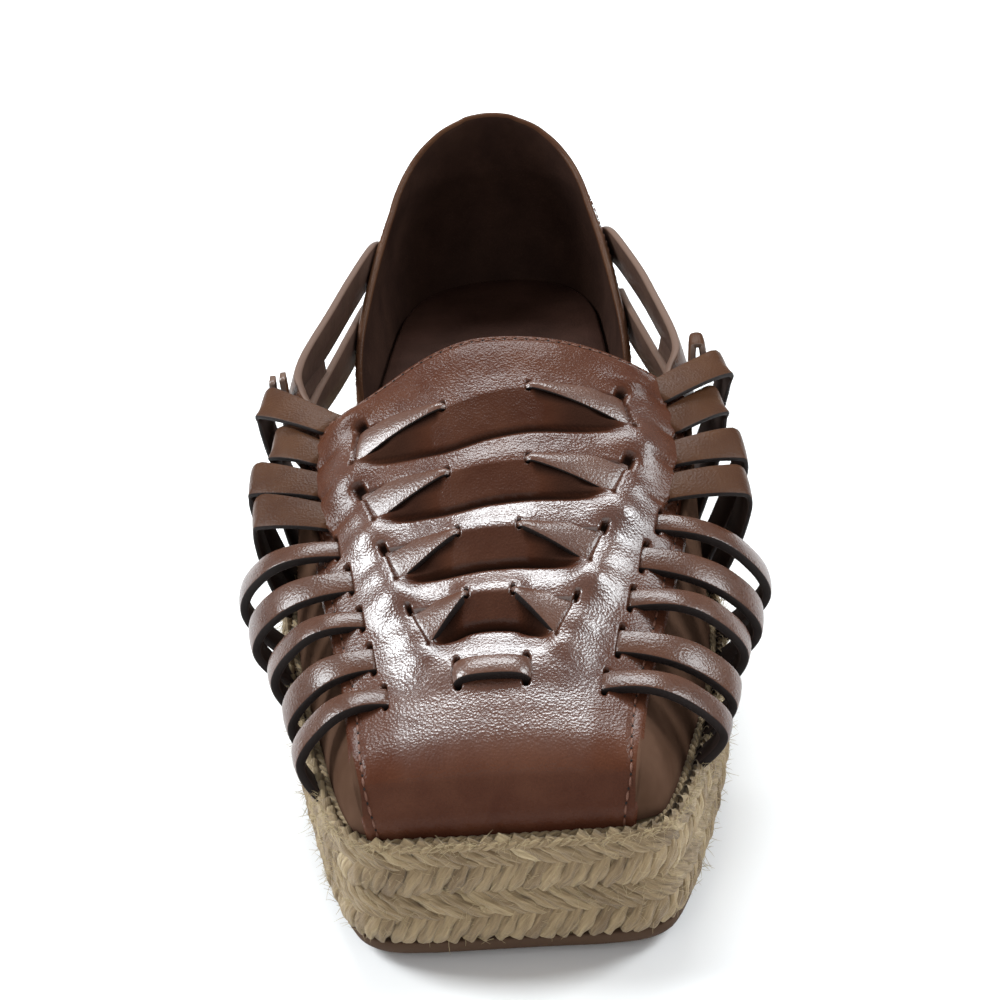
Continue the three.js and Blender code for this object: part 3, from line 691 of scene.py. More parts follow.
def across_width(along, across):
    """Millimetres of the half of the panel that a place lies on."""
    rows = np.array(PANEL[PANEL_TOP_START:])
    reach = rows[:, 0] * THROAT_ALONG
    lateral, medial = [np.interp(along, reach, rows[:, column] * BALL_WIDTH) for column in (2, 3)]
    return np.where(across < 0, lateral, medial)


def plan(along, across):
    """Flat millimetres on the panel of a place given as along and across."""
    return np.array((across * across_width(along, across), along))


def segment_distance(flat, start, end):
    """Distance of flat points from a line piece."""
    along = end - start
    share = np.clip(np.sum((flat - start) * along, -1) / max(np.dot(along, along), 1e-9), 0, 1)
    return np.linalg.norm(flat - start - share[..., None] * along, axis=-1)


SLIT_ALONG = np.array([slit[0] for slit in SLITS])[::-1]
SLIT_ACROSS = np.array([slit[1] for slit in SLITS])[::-1]
WEDGE_ALONG = np.array([place for row in ROWS for place in (row[0], row[2])])[::-1]
WEDGE_ACROSS = np.array([place for row in ROWS for place in (row[1], row[3])])[::-1]

# Relief of the four rows: half width of the outer hole, height of the band's crest, depth of its crease
HOLE_SIZE = (0.9, 0.9, 0.58, 0.4)
CREST = (0.25, 0.35, 0.9, 1.0)
CREASE_DEPTH = (0.4, 0.6, 1.05, 1.25)
BAND_FOOT = 0.45
CREASE_OFFSET = 0.45
CREASE_WIDTH = 0.65
CREASE_LEAST = 0.45
PILLOW_RUN = 6.5
FLAP_HOLLOW = 0.9
GAP_WIDTH = 3.0

# Painted shade of the woven rows: middle and more at the ends of a band, its crease, the gap under a flap
BAND_SHADE = 0.36
BAND_END_SHADE = 0.4
CREASE_SHADE = 0.9
GAP_SHADE = 0.88

# Outer edge of the ridge at each broad strap: depth, place behind the slit, reach
SCALLOP = (2.0, 0.6, 3.0)

# Lobes of the ridge: height, reach across and along
STRAP_LOBE = (0.3, 3.4, 3.0)
STRAP_NOTCH = (-0.4, 2.8, 1.0)
ROW_LOBE = (1.3, 5.2, 4.2)
SLIT_LOBE = (0.5, 4.0, 2.8)
THROAT_LOBE = (0.9, 4.4, 2.2)
TOE_LOBE = (0.8, 5.0, 3.0)
SLIT_PRESS = 0.7
EDGE_STEP = 2.3
FRONT_BUNCH = 0.7
BUNCH_ALONG = 27.5

# Cuts through the panel: depth, half width, darkness of the shade painted in them
FLAP_END = (0.2, 0.45, 0.7)
FLAP_LINE = (0.0, 0.3, 0.4)
INNER_HOLE = (0.9, 0.42, 1.0)
STRAP_SLIT = (1.4, 0.42, 1.0)
LOOP_SLIT = (1.5, 0.55, 1.0)
OUTER_HOLE_DEPTH = 1.5
SLIT_PAST = 0.5


def lobe(flat, spot, height, wide, long):
    """Soft round hump at a spot of the panel."""
    return height * np.exp(-((flat[..., 0] - spot[0]) / wide) ** 2 - ((flat[..., 1] - spot[1]) / long) ** 2)


def terraces(along, across, wide):
    """Pillows between the woven rows, each ending in a steep band over a crease, with shade painted on the
    band, in the crease and under the flaps.
    """
    lift = np.zeros(along.shape)
    shade = np.zeros(along.shape)
    wedge = np.interp(along, WEDGE_ALONG, WEDGE_ACROSS)
    inside = smooth(0.02, -0.11, wide - wedge)
    for values, height, depth in zip(ROWS, CREST, CREASE_DEPTH):
        outer, outer_across, low, low_across, inner, inner_across, band, skew = values
        pulled = along + skew * smooth(0.25, -0.25, across)
        floor = band + (low - band) * np.clip(wide / low_across, 0, 1.15) ** 2.5
        past = (wide - inner_across) / (outer_across - inner_across)
        ceiling = inner + (outer - inner) * np.clip(past, 0, 1.1)
        reach = np.clip((wide - inner_across) / (low_across - inner_across), 0, 1)
        edge = inner + (low - inner) * reach
        taper = 1 - np.clip(wide / low_across, 0, 1) ** 5
        flap = smooth(inner_across, inner_across + 0.04, wide)
        # Steep band between the crease, darkened with painted shade, and the flaps
        riser = np.clip((pulled - floor) / (inner - floor), 0, 1)
        on_band = smooth(-0.25, 0.25, pulled - floor) * smooth(0.3, -0.3, pulled - edge)
        foot = BAND_FOOT * depth
        lift += inside * on_band * (-foot + (foot + height) * riser)
        # Hollow under each flap, and the shade painted in the gap along its lower edge
        on_flap = smooth(0.3, 1.2, pulled - edge) * smooth(-0.6, -1.6, pulled - ceiling) * flap
        lift -= smooth(0.0, -0.03, wide - wedge) * on_flap * FLAP_HOLLOW
        below = edge - pulled
        gap = smooth(-0.6, 0.1, below) * np.exp(-(np.maximum(below, 0) / GAP_WIDTH) ** 2)
        gap *= inside * flap * (1 - reach ** 8)
        # Pillow that rises out of the crease to the edge of the next band
        behind = np.maximum(pulled - ceiling, 0)
        crest = height * np.exp(-(behind / (3 + height)) ** 2)
        crest = crest * (1 - smooth(inner_across, inner_across + 0.12, wide))
        lift += inside * smooth(-0.3, 0.3, pulled - edge) * (1 - on_flap) * crest
        ahead = np.maximum(floor - pulled, 0)
        lift -= inside * smooth(0.25, -0.25, pulled - floor) * depth * (1 - smooth(0, PILLOW_RUN, ahead))
        crease = np.exp(-((floor - pulled - CREASE_OFFSET) / CREASE_WIDTH) ** 2) * inside * taper
        lift -= (CREASE_LEAST + foot) * crease
        # Painted shade: the band is darker, more so towards the flaps, and the crease and the gap under each
        # flap are painted dark
        band_shade = BAND_SHADE + BAND_END_SHADE * smooth(0.05, 0.5, reach)
        shade = np.maximum(shade, inside * on_band * band_shade)
        shade = np.maximum(shade, np.maximum(CREASE_SHADE * crease, GAP_SHADE * gap))
    return lift, shade


def ridge(flat, along, across, wide, side_width):
    """Full band of leather between the two lines of slits, lobed where the straps go under it."""
    slit = np.interp(along, SLIT_ALONG, SLIT_ACROSS)
    wedge = np.interp(along, WEDGE_ALONG, WEDGE_ACROSS)
    scallop = np.zeros(along.shape)
    for place, _, _ in SLITS[:LOOPS_FROM]:
        scallop += SCALLOP[0] * np.exp(-((along - place - SCALLOP[1]) / SCALLOP[2]) ** 2)
    back = smooth(60, 72, along)
    inner_side = (wide - wedge) * side_width
    outer_side = (wide - slit) * side_width - scallop * back
    present = smooth(26, 42, along) * (1 - smooth(99, 106, along))
    steep = smooth(-6.5, 3.0, inner_side)
    lift = steep * (1 - 0.6 * smooth(2.0, 8.0, inner_side))
    lift = lift * (1 - smooth(0.5, 6.0, outer_side)) * present
    for outer, outer_across, low, low_across, _, _, _, skew in ROWS:
        # The inner side of each outer slit is pressed down under its flap
        share = (along + np.where(across < 0, skew, 0) - low) / (outer - low)
        past = (wide - low_across - (outer_across - low_across) * share) * side_width
        at_slit = smooth(-0.05, 0.15, share) * smooth(0.92, 0.7, share)
        lift -= SLIT_PRESS * at_slit * smooth(0.3, -0.3, past) * smooth(-9, -4, past)
    lift -= EDGE_STEP * back * smooth(-0.15, 0.75, outer_side)
    for side in SIDES:
        for place, edge, _ in SLITS[:LOOPS_FROM]:
            width = across_width(place, side)
            spot = plan(place + SCALLOP[1], side * (edge - 2.6 / width))
            lift += lobe(flat, spot, *STRAP_LOBE)
        for one, two in zip(SLITS[:LOOPS_FROM], SLITS[1:LOOPS_FROM + 1]):
            spot = plan((one[0] + two[0]) / 2 + 0.4, side * ((one[1] + two[1]) / 2 - 0.01))
            lift += lobe(flat, spot, *STRAP_NOTCH)
        for one, two in zip(ROWS[:-1], ROWS[1:]):
            upper, lower = row_side(one, side)[1], row_side(two, side)[0]
            spot = plan((upper[0] + lower[0]) / 2, (upper[1] + lower[1]) / 2 + side * 0.05)
            lift += lobe(flat, spot, *ROW_LOBE)
        for values in ROWS[1:]:
            top, low = row_side(values, side)[:2]
            spot = plan(low[0] + 2.2, (0.7 * low[1] + 0.3 * top[1]) + side * 0.09)
            lift += lobe(flat, spot, *SLIT_LOBE)
        first = row_side(ROWS[0], side)[0]
        lift += lobe(flat, plan(first[0] + 3.6, first[1] + side * 0.05), *THROAT_LOBE)
        last = row_side(ROWS[-1], side)[1]
        lift += lobe(flat, plan(last[0] - 2.6, last[1] + side * 0.05), *TOE_LOBE)
    # Leather bunched up between the last row and the small front loop
    lift += FRONT_BUNCH * np.exp(-((along - BUNCH_ALONG) / 3.6) ** 2) * smooth(0.75, 0.4, wide)
    return lift


def holes(flat):
    """Pinches at every slit, with shade painted dark into each opening."""
    lift = np.zeros(flat.shape[:-1])
    shade = np.zeros(flat.shape[:-1])

    def cut(start, end, depth, size, dark):
        distance = segment_distance(flat, start, end)
        # Painted shade: the opening of each cut is painted dark
        shade[...] = np.maximum(shade, dark * np.exp(-(distance / size) ** 7))
        lift[...] -= depth * np.exp(-(distance / (size * 1.15)) ** 4)

    for side in SIDES:
        for values, size in zip(ROWS, HOLE_SIZE):
            top, low, hole, _ = row_side(values, side)
            outer = plan(top[0] - 1.5, top[1] - side * 0.01), plan(top[0] + 0.2, top[1])
            cut(*outer, OUTER_HOLE_DEPTH, size, 1.0)
            cut(plan(low[0] - 0.3, low[1]), plan(low[0] + 0.4, low[1]), *FLAP_END)
            cut(plan(*top), plan(*low), *FLAP_LINE)
            cut(plan(hole[0] - 0.2, hole[1]), plan(hole[0] + 1.3, hole[1]), *INNER_HOLE)
        for place, edge, width in SLITS[LOOPS_FROM:]:
            reach = width / 2 + SLIT_PAST
            cut(plan(place - reach, side * edge), plan(place + reach, side * edge), *STRAP_SLIT)
        front = plan(LOOP_FRONT - SLIT_PAST, side * LOOP_ACROSS)
        cut(front, plan(LOOP_BACK + SLIT_PAST, side * LOOP_ACROSS), *LOOP_SLIT)
    return lift, shade


# Unevenness of the soft leather: height, longest and shortest wave, number of waves, seed
TOP_WAVES = ((0.03, 13, 6, 20, 11), (0.012, 4.5, 2, 26, 12))
BROAD_WAVES = (0.05, 30, 14, 10, 13)


def relief(flat, across):
    """Lift of the soft leather off the plain panel, and the shade painted at each place."""
    x, along = flat[..., 0], flat[..., 1]
    wide = np.abs(across)
    side_width = across_width(along, across)
    lift, shade = terraces(along, across, wide)
    lift += ridge(flat, along, across, wide, side_width)
    pinch, dark = holes(flat)
    lift += pinch
    top = smooth(16, 27, along)
    for height, *waves in TOP_WAVES:
        lift += height * ripples(x, along, *waves) * top
    lift += BROAD_WAVES[0] * ripples(x, along, *BROAD_WAVES[1:])
    return lift, np.maximum(shade, dark)


# Seams set in from the side edges and from the throat, and how deep the stitches lie
EDGE_SEAM = 2.2
EDGE_SEAM_DEPTH = 0.18
THROAT_SEAM = 1.3
THROAT_SEAM_DEPTH = 0.2
EDGE_ROUND = 0.55
TOE_PULL = 1.5

# Polish lost behind the front rows, at the throat and past the slits; the least polish; dulling where shade
# is painted
REAR_DULL = 0.62
THROAT_DULL = 0.7
SIDE_DULL = 0.7
LEAST_GLOSS = 0.08
SHADE_DULL = 2.4
WALL_GLOSS = 0.3


def vamp():
    rows, columns = 400, 244
    position = np.linspace(0, len(PANEL) - 1, 1200)
    run = path_marks(panel_point(position, 0 * position))
    position = np.interp(np.linspace(0, run[-1], rows), run, position)
    position, across = np.meshgrid(position, np.linspace(-1, 1, columns), indexing="ij")
    base = panel_point(position, across)
    normal = panel_normal(position, across)
    lift, shade = relief(base[..., :2], across)
    edge = (1 - np.abs(across)) * across_width(base[..., 1], across)
    throat = run[-1] - np.linspace(0, run[-1], rows)[:, None]
    # Toe cap drawn tight over the toes
    arc = run[-1] - throat
    lift -= TOE_PULL * smooth(0, 12, arc) * (1 - smooth(14, 34, arc))
    # Rounded cut edges, a sunk line of stitches along each
    lift *= smooth(0.0, 3.0, throat)
    lift -= EDGE_ROUND * (1 - smooth(0, 0.9, np.minimum(edge, throat))) ** 2
    lift -= EDGE_SEAM_DEPTH * np.exp(-((edge - EDGE_SEAM) / 0.6) ** 2)
    lift -= THROAT_SEAM_DEPTH * np.exp(-((throat - THROAT_SEAM) / 0.5) ** 2)
    outer = base + normal * lift[..., None]
    piece = Piece()
    # Polished ridges and front rows, softer sheen at the throat, the toe and the edges
    slit = np.interp(base[..., 1], SLIT_ALONG, SLIT_ACROSS)
    gloss = smooth(10, 26, arc) * (1 - REAR_DULL * smooth(46, 32, throat))
    gloss = gloss * (1 - THROAT_DULL * smooth(18, 8, throat))
    gloss = gloss * (1 - SIDE_DULL * smooth(-0.13, 0.0, np.abs(across) - slit)) * smooth(-2, 5, edge)
    # Painted shade also takes the polish away, so no sheen shows on it
    gloss = np.clip(gloss, LEAST_GLOSS, 1) * (1 - np.minimum(SHADE_DULL * shade, 1))
    piece.add(outer, grid_faces(rows, columns), 0, shade=shade.ravel(), gloss=gloss.ravel())
    rim, down = [np.concatenate([grid[:, 0], grid[-1, 1:], grid[::-1, -1][1:]]) for grid in (outer, normal)]
    wall = np.stack((rim, rim - down * 0.5, rim - down * LEATHER), 0)
    piece.add(wall, grid_faces(3, rim.shape[0]), 1, shade=0.0, gloss=WALL_GLOSS)
    piece.make("vamp", (HIDE, CUT), "leather", turn=False, node="upper")

    inner = Piece()
    rows, columns = 60, 40
    position = np.linspace(0, len(PANEL) - 1, rows)
    position, across = np.meshgrid(position, np.linspace(-1, 1, columns), indexing="ij")
    face = panel_point(position, across) - panel_normal(position, across) * (LEATHER + LINING_THICKNESS)
    inner.add(face, grid_faces(rows, columns), 0)
    inner.make("vamp_lining", (LINING,), "leather", turn=False)
    return outer, normal, edge, throat


# Lift of a flap's upper and lower edge from its outer slit to its inner hole
FLAP = (
    (-0.1, -0.9, -0.9), (-0.02, -0.35, -0.35), (0.06, 0.0, 0.1), (0.22, 0.0, 0.5), (0.45, 0.05, 1.05),
    (0.7, 0.2, 1.65), (0.92, 0.5, 2.0), (1.0, 0.2, 1.3), (1.05, -1.0, -0.9),
)
FLAP_DIP = 0.7
FLAP_RISE = (0.52, 0.57, 0.8, 0.9)
FLAP_THICKNESS = (0.55, 0.6, 1.1, 1.4)


def woven_rows():
    flaps = Piece()
    s = np.linspace(FLAP[0][0], FLAP[-1][0], 56)
    heights = read_rows(FLAP, find_row(FLAP, s))
    for values, height, thickness in zip(ROWS, FLAP_RISE, FLAP_THICKNESS):
        for side in SIDES:
            slit_top, slit_low, hole, _ = row_side(values, side)
            dip = FLAP_DIP * (1 - smooth(0.0, 0.4, s))
            upper_along = slit_top[0] + (hole[0] + WEDGE_TIP - slit_top[0]) * s - dip
            upper_across = slit_top[1] + (hole[1] - slit_top[1]) * s
            lower_along = slit_low[0] + (hole[0] - 0.4 - slit_low[0]) * s
            lower_across = slit_low[1] + (hole[1] - slit_low[1]) * s
            upper = panel_face(upper_along, upper_across, heights[:, 1])
            low_lift = np.maximum(heights[:, 2], 0) * height + np.minimum(heights[:, 2], 0)
            lower = panel_face(lower_along, lower_across, low_lift)
            up = panel_up(upper_along, upper_across)
            flaps.add(*ribbon(upper, lower, up, thickness, crown=0.3, corner=0.25, columns=9, folded=True))
    # Small front loop, its ends sunk in their slits
    t = np.linspace(-LOOP_END, LOOP_END, 48)
    rise = -LOOP_SINK + (LOOP_LIFT + 1.4) * np.sqrt(np.clip(1 - (t / LOOP_END) ** 4, 0, 1))
    middle = t * LOOP_ACROSS
    back, front = panel_face(LOOP_BACK, middle, rise - 0.2), panel_face(LOOP_FRONT, middle, rise + 0.3)
    flaps.add(*ribbon(back, front, panel_up(LOOP_BACK, middle), crown=0.25))
    flaps.make("vamp_flaps", (LIT_FLAP_HIDE, CUT, UNDER), "leather")


def quadratic(start, middle, end, steps):
    t = np.linspace(0, 1, steps)[:, None]
    return start * (1 - t) ** 2 + 2 * middle * t * (1 - t) + end * t * t


def strap_edges(slit_values, values, side, steps=64):
    """Both edge lines and the outward face of one side strap."""
    slit, edge, slit_width = slit_values
    reach, arch, corner, out, height, bend, foot_along, inset, bulge, tilt, width = values
    across = side * edge
    start = panel_face(slit, across, -STRAP_SINK)
    outward = unit(panel_face(slit, across + side * 0.05, 0) - panel_face(slit, across, 0))
    rise = panel_up(slit, across)
    flat, corner_run, _ = outline_side(side, corner, -out)
    turn = np.append(flat, sole_top(corner) + height)
    foot, foot_run, foot_out = outline_side(side, foot_along, inset)
    end = np.append(foot, sole_top(foot_along) - LEATHER)
    first = start + (turn - start) * reach + rise * arch
    last = (turn + end) / 2 + np.append(foot_out * bulge, 0)
    before = turn + (first - turn) * bend
    after = turn + (last - turn) * bend
    lengths = np.array([np.linalg.norm(a - b) for a, b in ((start, before), (before, after), (after, end))])
    counts = np.maximum(8, np.round(steps * lengths / lengths.sum())).astype(int)
    path = np.concatenate((quadratic(start, first, before, counts[0]),
                           quadratic(before, turn, after, counts[1])[1:],
                           quadratic(after, last, end, counts[2])[1:]))
    marks = path_marks(path)
    t = marks / marks[-1]
    angle = math.radians(tilt)
    crest = np.append(corner_run * math.cos(angle), math.sin(angle))
    slit_run = unit(panel_face(slit + 1, across, 0) - panel_face(slit - 1, across, 0))
    over, under = smooth(0, 0.3, t)[:, None], smooth(0.55, 0.9, t)[:, None]
    wide = slit_run * (1 - over) + crest * over
    wide = wide * (1 - under) + np.append(foot_run, 0) * under
    run = unit(np.gradient(path, axis=0))
    wide = square_to(run, wide)
    face = np.cross(run, wide)
    face *= np.sign(face[0] @ rise)
    widths = (slit_width + (width - slit_width) * smooth(0, 0.4, t))[:, None]
    # The strap comes up out of its slit from under the panel
    path = path + face * LEATHER / 2
    under = np.stack((start - outward * 2.6 - rise * 1.9, start - outward * 1.0 - rise * 0.5))
    path = np.concatenate((under, path))
    wide, face, widths = [np.concatenate((part[:1], part[:1], part)) for part in (wide, face, widths)]
    return path - wide * widths / 2, path + wide * widths / 2, face


def side_straps():
    for side, name in SIDES.items():
        for number, (slit, values) in enumerate(zip(SLITS, STRAPS[side]), 1):
            edge_a, edge_b, face = strap_edges(slit, values, side)
            piece = Piece()
            thickness = LEATHER if number > LOOPS_FROM else THIN_STRAP
            piece.add(*ribbon(edge_a, edge_b, face, thickness, crown=0.18, corner=0.4))
            hide = LOOP_HIDE if number > LOOPS_FROM else STRAP_HIDE
            piece.make(f"strap_{name}_{number}", (hide, CUT, UNDER), "leather")


def side_lining():
    """Smooth wall from just under each edge of the vamp down to the sole."""
    steps, levels = 160, 26
    for side, name in SIDES.items():
        position = np.linspace(LINING_START, len(PANEL) - 1, steps)
        across = np.full(steps, side * LINING_ACROSS)
        top = panel_point(position, across) - panel_normal(position, across) * LINING_SINK
        along = top[:, 1] + LINING_SHIFT + LINING_BACK_SHIFT * (top[:, 1] / THROAT_ALONG) ** 3
        foot, _, outward = outline_side(side, along, LINING_INSET)
        bottom = np.column_stack((foot, sole_top(along) - LEATHER))
        away = np.column_stack((outward, np.full(steps, LINING_LIFT)))
        middle = (top + bottom) / 2 + away * LINING_SWELL
        t = np.linspace(0, 1, levels)[None, :, None]
        outer = top[:, None] * (1 - t) ** 2 + 2 * middle[:, None] * t * (1 - t) + bottom[:, None] * t * t
        run = unit(np.gradient(outer, axis=1))
        inner = outer - square_to(run, away[:, None]) * LINING_THICKNESS
        ring = np.concatenate((outer, inner[:, ::-1]), 1)
        piece = Piece()
        piece.add(ring, grid_faces(steps, 2 * levels, True), 0)
        piece.make(f"side_lining_{name}", (SIDE_LINING,), "leather")


def quarter_edges(table, side):
    place = np.concatenate((np.linspace(0, 0.5, 24), np.linspace(0.5, len(table) - 1, 60)[1:]))
    steps = len(place)
    row = read_rows(table, place)
    inset = row[:, 1] if side == LATERAL else row[:, 2]
    point, _, outward = outline_side(side, row[:, 0], inset)
    path = np.column_stack((point, sole_top(row[:, 0]) + row[:, 3]))
    wide = np.column_stack((-side * row[:, 4], np.zeros(steps), np.ones(steps)))
    run = unit(np.gradient(path, axis=0))
    wide = square_to(run, wide)
    face = np.cross(run, wide)
    face *= np.sign(np.sum(face[:, :2] * outward, axis=1, keepdims=True))
    path = path + face * LEATHER / 2
    marks = path_marks(path)
    short = 1 - np.clip(marks / QUARTER_ROUND, 0, 1)
    half = QUARTER_WIDTH / 2 - QUARTER_ROUND * (1 - np.sqrt(np.maximum(1 - short ** 2, 0)))
    wide = wide * half[:, None]
    return path - wide, path + wide, face


def end_stitches(low, high, face):
    """Stitches in a U on the end of a quarter strap, where it lies on the counter."""
    marks = path_marks((low + high) / 2)
    inset = END_MARGIN / QUARTER_WIDTH

    def line(at, share):
        return read_line(at, marks, low * (1 - share) + high * share + face * 0.1)
    down = np.linspace(END_REACH, END_MARGIN, 12)
    turn = np.linspace(inset, 1 - inset, 8)
    path = np.concatenate((line(down, inset), [line(END_MARGIN, share) for share in turn[1:-1]],
                           line(down[::-1], 1 - inset)))
    return path, np.tile(face[4], (len(path), 1))


# Stitches: pitch, length, width, height, size of the needle holes
EDGE_STITCH = (2.5, 1.7, 0.5, 0.42, 0.5)
THROAT_STITCH = (2.2, 1.5, 0.45, 0.4, 0.5)
BACK_STITCH = (2.4, 1.6, 0.5, 0.42, 0.5)
QUARTER_HIDES = (STRAP_HIDE, BURNISHED_EDGE_SHEEN, INNER_HIDE)


def quarters():
    seams = Piece()
    for side, name in SIDES.items():
        upper = quarter_edges(UPPER_QUARTER, side)
        lower = quarter_edges(LOWER_QUARTER, side)
        for level, edges in (("upper", upper), ("lower", lower)):
            piece = Piece()
            piece.add(*ribbon(*edges, crown=0.2))
            stitch_line(seams, *end_stitches(*edges), *BACK_STITCH)
            piece.make(f"quarter_{name}_{level}", QUARTER_HIDES, "leather")

        # Tab that joins both straps in front
        along = np.linspace(TAB_BACK, TAB_FRONT, 24)
        edges = [far * 0.7 + near * 0.3 for far, near in ((lower[1], lower[0]), (upper[0], upper[1]))]
        edges = [read_line(-along, -edge[:, 1], edge) for edge in edges]
        piece = Piece()
        piece.add(*ribbon(*edges, np.array((side, 0, 0.3)), thickness=TAB_THICKNESS))
        piece.make(f"quarter_{name}_tab", QUARTER_HIDES, "leather")

        # Folded end that stands up behind the first side strap
        piece = Piece()
        for fold in FOLDS[side]:
            points = np.array([(side * x, along, z) for x, along, z in fold])
            path = read_rows(points, np.linspace(0, len(points) - 1, 40))
            width = np.array((0, 1, 0.15)) * FOLD_WIDTH[side] / 2
            run = np.gradient(path, axis=0)
            face = np.cross(run, width[None])
            face *= np.sign(np.sum(face * np.array((-side, 0, 0)), axis=1, keepdims=True)[0])
            piece.add(*ribbon(path - width, path + width, face, thickness=FOLD_THICKNESS, corner=0.3))
        piece.make(f"quarter_{name}_fold", QUARTER_HIDES, "leather")
    seams.make("quarter_stitches", (THREAD, NEEDLE_HOLE_SHADE), "leather")


def counter_inset(height):
    swell = COUNTER_SWELL * np.sin(np.pi * np.clip(height / SWELL_HEIGHT, 0, 1))
    return UPPER_INSET - swell + COUNTER_LEAN * (height / COUNTER_RISE) ** 2


def counter():
    steps, levels = 200, 40
    dense, points = RIM.round(4000, UPPER_INSET)
    behind = dense[points[:, 1] > SOLE_LENGTH - COUNTER_LENGTH]
    behind = np.where(behind > RIM.length / 2, behind - RIM.length, behind)
    places = np.linspace(behind.max(), behind.min(), steps)
    back = 1 - np.abs(2 * np.linspace(0, 1, steps) - 1)
    rise = read_rows(COUNTER_EDGE, find_row(COUNTER_EDGE, back))[:, 1] * COUNTER_RISE
    height = -LEATHER + (rise[:, None] + LEATHER) * np.linspace(0, 1, levels)[None]
    base, outward = RIM.at(places, 0)

    def face(inset, level):
        flat = base[:, None] - outward[:, None] * inset[..., None]
        return raised(flat, SOLE_HEIGHT + level)
    lift = COUNTER_WAVE * ripples(np.broadcast_to(places[:, None], height.shape), height, 40, 16, 12, 21)
    outer = face(counter_inset(height) - lift, height)
    inner = face(counter_inset(height) + LEATHER, height)
    roll = []
    for turn in (45, 90, 135):
        a = math.radians(turn)
        middle = counter_inset(height[:, -1:]) + LEATHER / 2
        roll.append(face(middle - LEATHER / 2 * math.cos(a), height[:, -1:] + LEATHER / 2 * math.sin(a)))
    ring = np.concatenate([outer] + roll + [inner[:, ::-1]], 1)
    piece = Piece()
    columns = ring.shape[1]
    strip = np.where(np.arange(columns - 1) < levels + len(roll), 0, 1)
    piece.add(ring, grid_faces(steps, columns), np.tile(strip, steps - 1))
    piece.make("heel_counter", (STRAP_HIDE, LINING), "leather")

    # Stitches along the top edge
    level = rise[:, None] - COUNTER_SEAM
    line = face(counter_inset(level) - 0.12, level)[:, 0]
    kept = rise > SEAM_START
    seam = Piece()
    stitch_line(seam, line[kept], level_out(outward)[kept], *BACK_STITCH)
    seam.make("counter_stitches", (THREAD, NEEDLE_HOLE_SHADE), "leather")


# Rounded edge of the footbed, as distances in and heights, and the edge of the rubber, as heights and insets
FOOTBED_EDGE = (
    (0.0, 0.0), (0.0, INSOLE_THICKNESS - 1.0), (0.35, INSOLE_THICKNESS - 0.35), (1.0, INSOLE_THICKNESS),
)
RUBBER_EDGE = (
    (0.0, 6.0), (0.0, 3.0), (0.25, 2.2), (0.9, 1.6), (1.8, 1.25), (2.9, 1.15),
    (OUTSOLE_THICKNESS, 1.4), (OUTSOLE_THICKNESS, 5.0),
)
RUBBER_WAVE = 0.12


def insole():
    ring = RIM.round(800, INSOLE_INSET)[1]
    ring[:, 1] = np.maximum(ring[:, 1], INSOLE_FRONT)
    base = SOLE_HEIGHT + JOIN_GAP
    spine = middle_line(ring)
    away = ring - spine
    length = np.linalg.norm(away, axis=1, keepdims=True)
    rings = [raised(spine + away * (1 - inward / length), base + height) for inward, height in FOOTBED_EDGE]
    top = away * (1 - FOOTBED_EDGE[-1][0] / length)
    for share in np.linspace(0.06, 1, 14)[1:]:
        rings.append(raised(spine + top * (1 - share), base + INSOLE_THICKNESS))
    make_rings(rings, "footbed", (FOOTBED,), "footbed", node="insole")


def outsole():
    marks = RIM.round(1000, 0)[0]
    wave = RUBBER_WAVE * ripples(marks, 0 * marks, 60, 20, 8, 31)
    rings = [raised(RIM.at(marks, inset + wave)[0], height) for height, inset in RUBBER_EDGE]
    flat = rings[0][:, :2]
    spine = middle_line(flat)
    under = [raised(spine + (flat - spine) * share, 0) for share in (0.0, 0.5)]
    make_rings(under + rings, "rubber_outsole", (RUBBER,), "rubber", node="outsole")


# Braided sides: each row is a plait whose strands lean up to its middle line from both edges
STRAND_PITCH = 2.75
STRAND_INSET = 1.9
PLY_COUNT = 3
PLY_SWELL = 0.16
SWAY = 0.16
HALF_ROW = BRAID_HEIGHT / 2
# Steep strands of the lower half and flatter ones of the upper half: run and start along the rim, first and
# last height in the row, swell, half width, half depth, seed, twist
STRANDS = (
    (3.8, -1.9, 0.1 - HALF_ROW, 1.1, 0.95, 1.42, 0.95, 41, 1.6),
    (8.8, -6.4, 0.1 + HALF_ROW, -0.5, 0.85, 1.14, 0.9, 51, 2.2),
)


def tube(middle, outward, wide, deep, turn):
    """Points round middle lines that follow the rim."""
    run = unit(np.gradient(middle, axis=-2))
    across = unit(np.cross(run, level_out(outward)))
    rise = unit(np.cross(across, run))
    return (middle[..., None, :] + across[..., None, :] * (wide * np.cos(turn))[..., None]
            + rise[..., None, :] * (deep * np.sin(turn))[..., None])


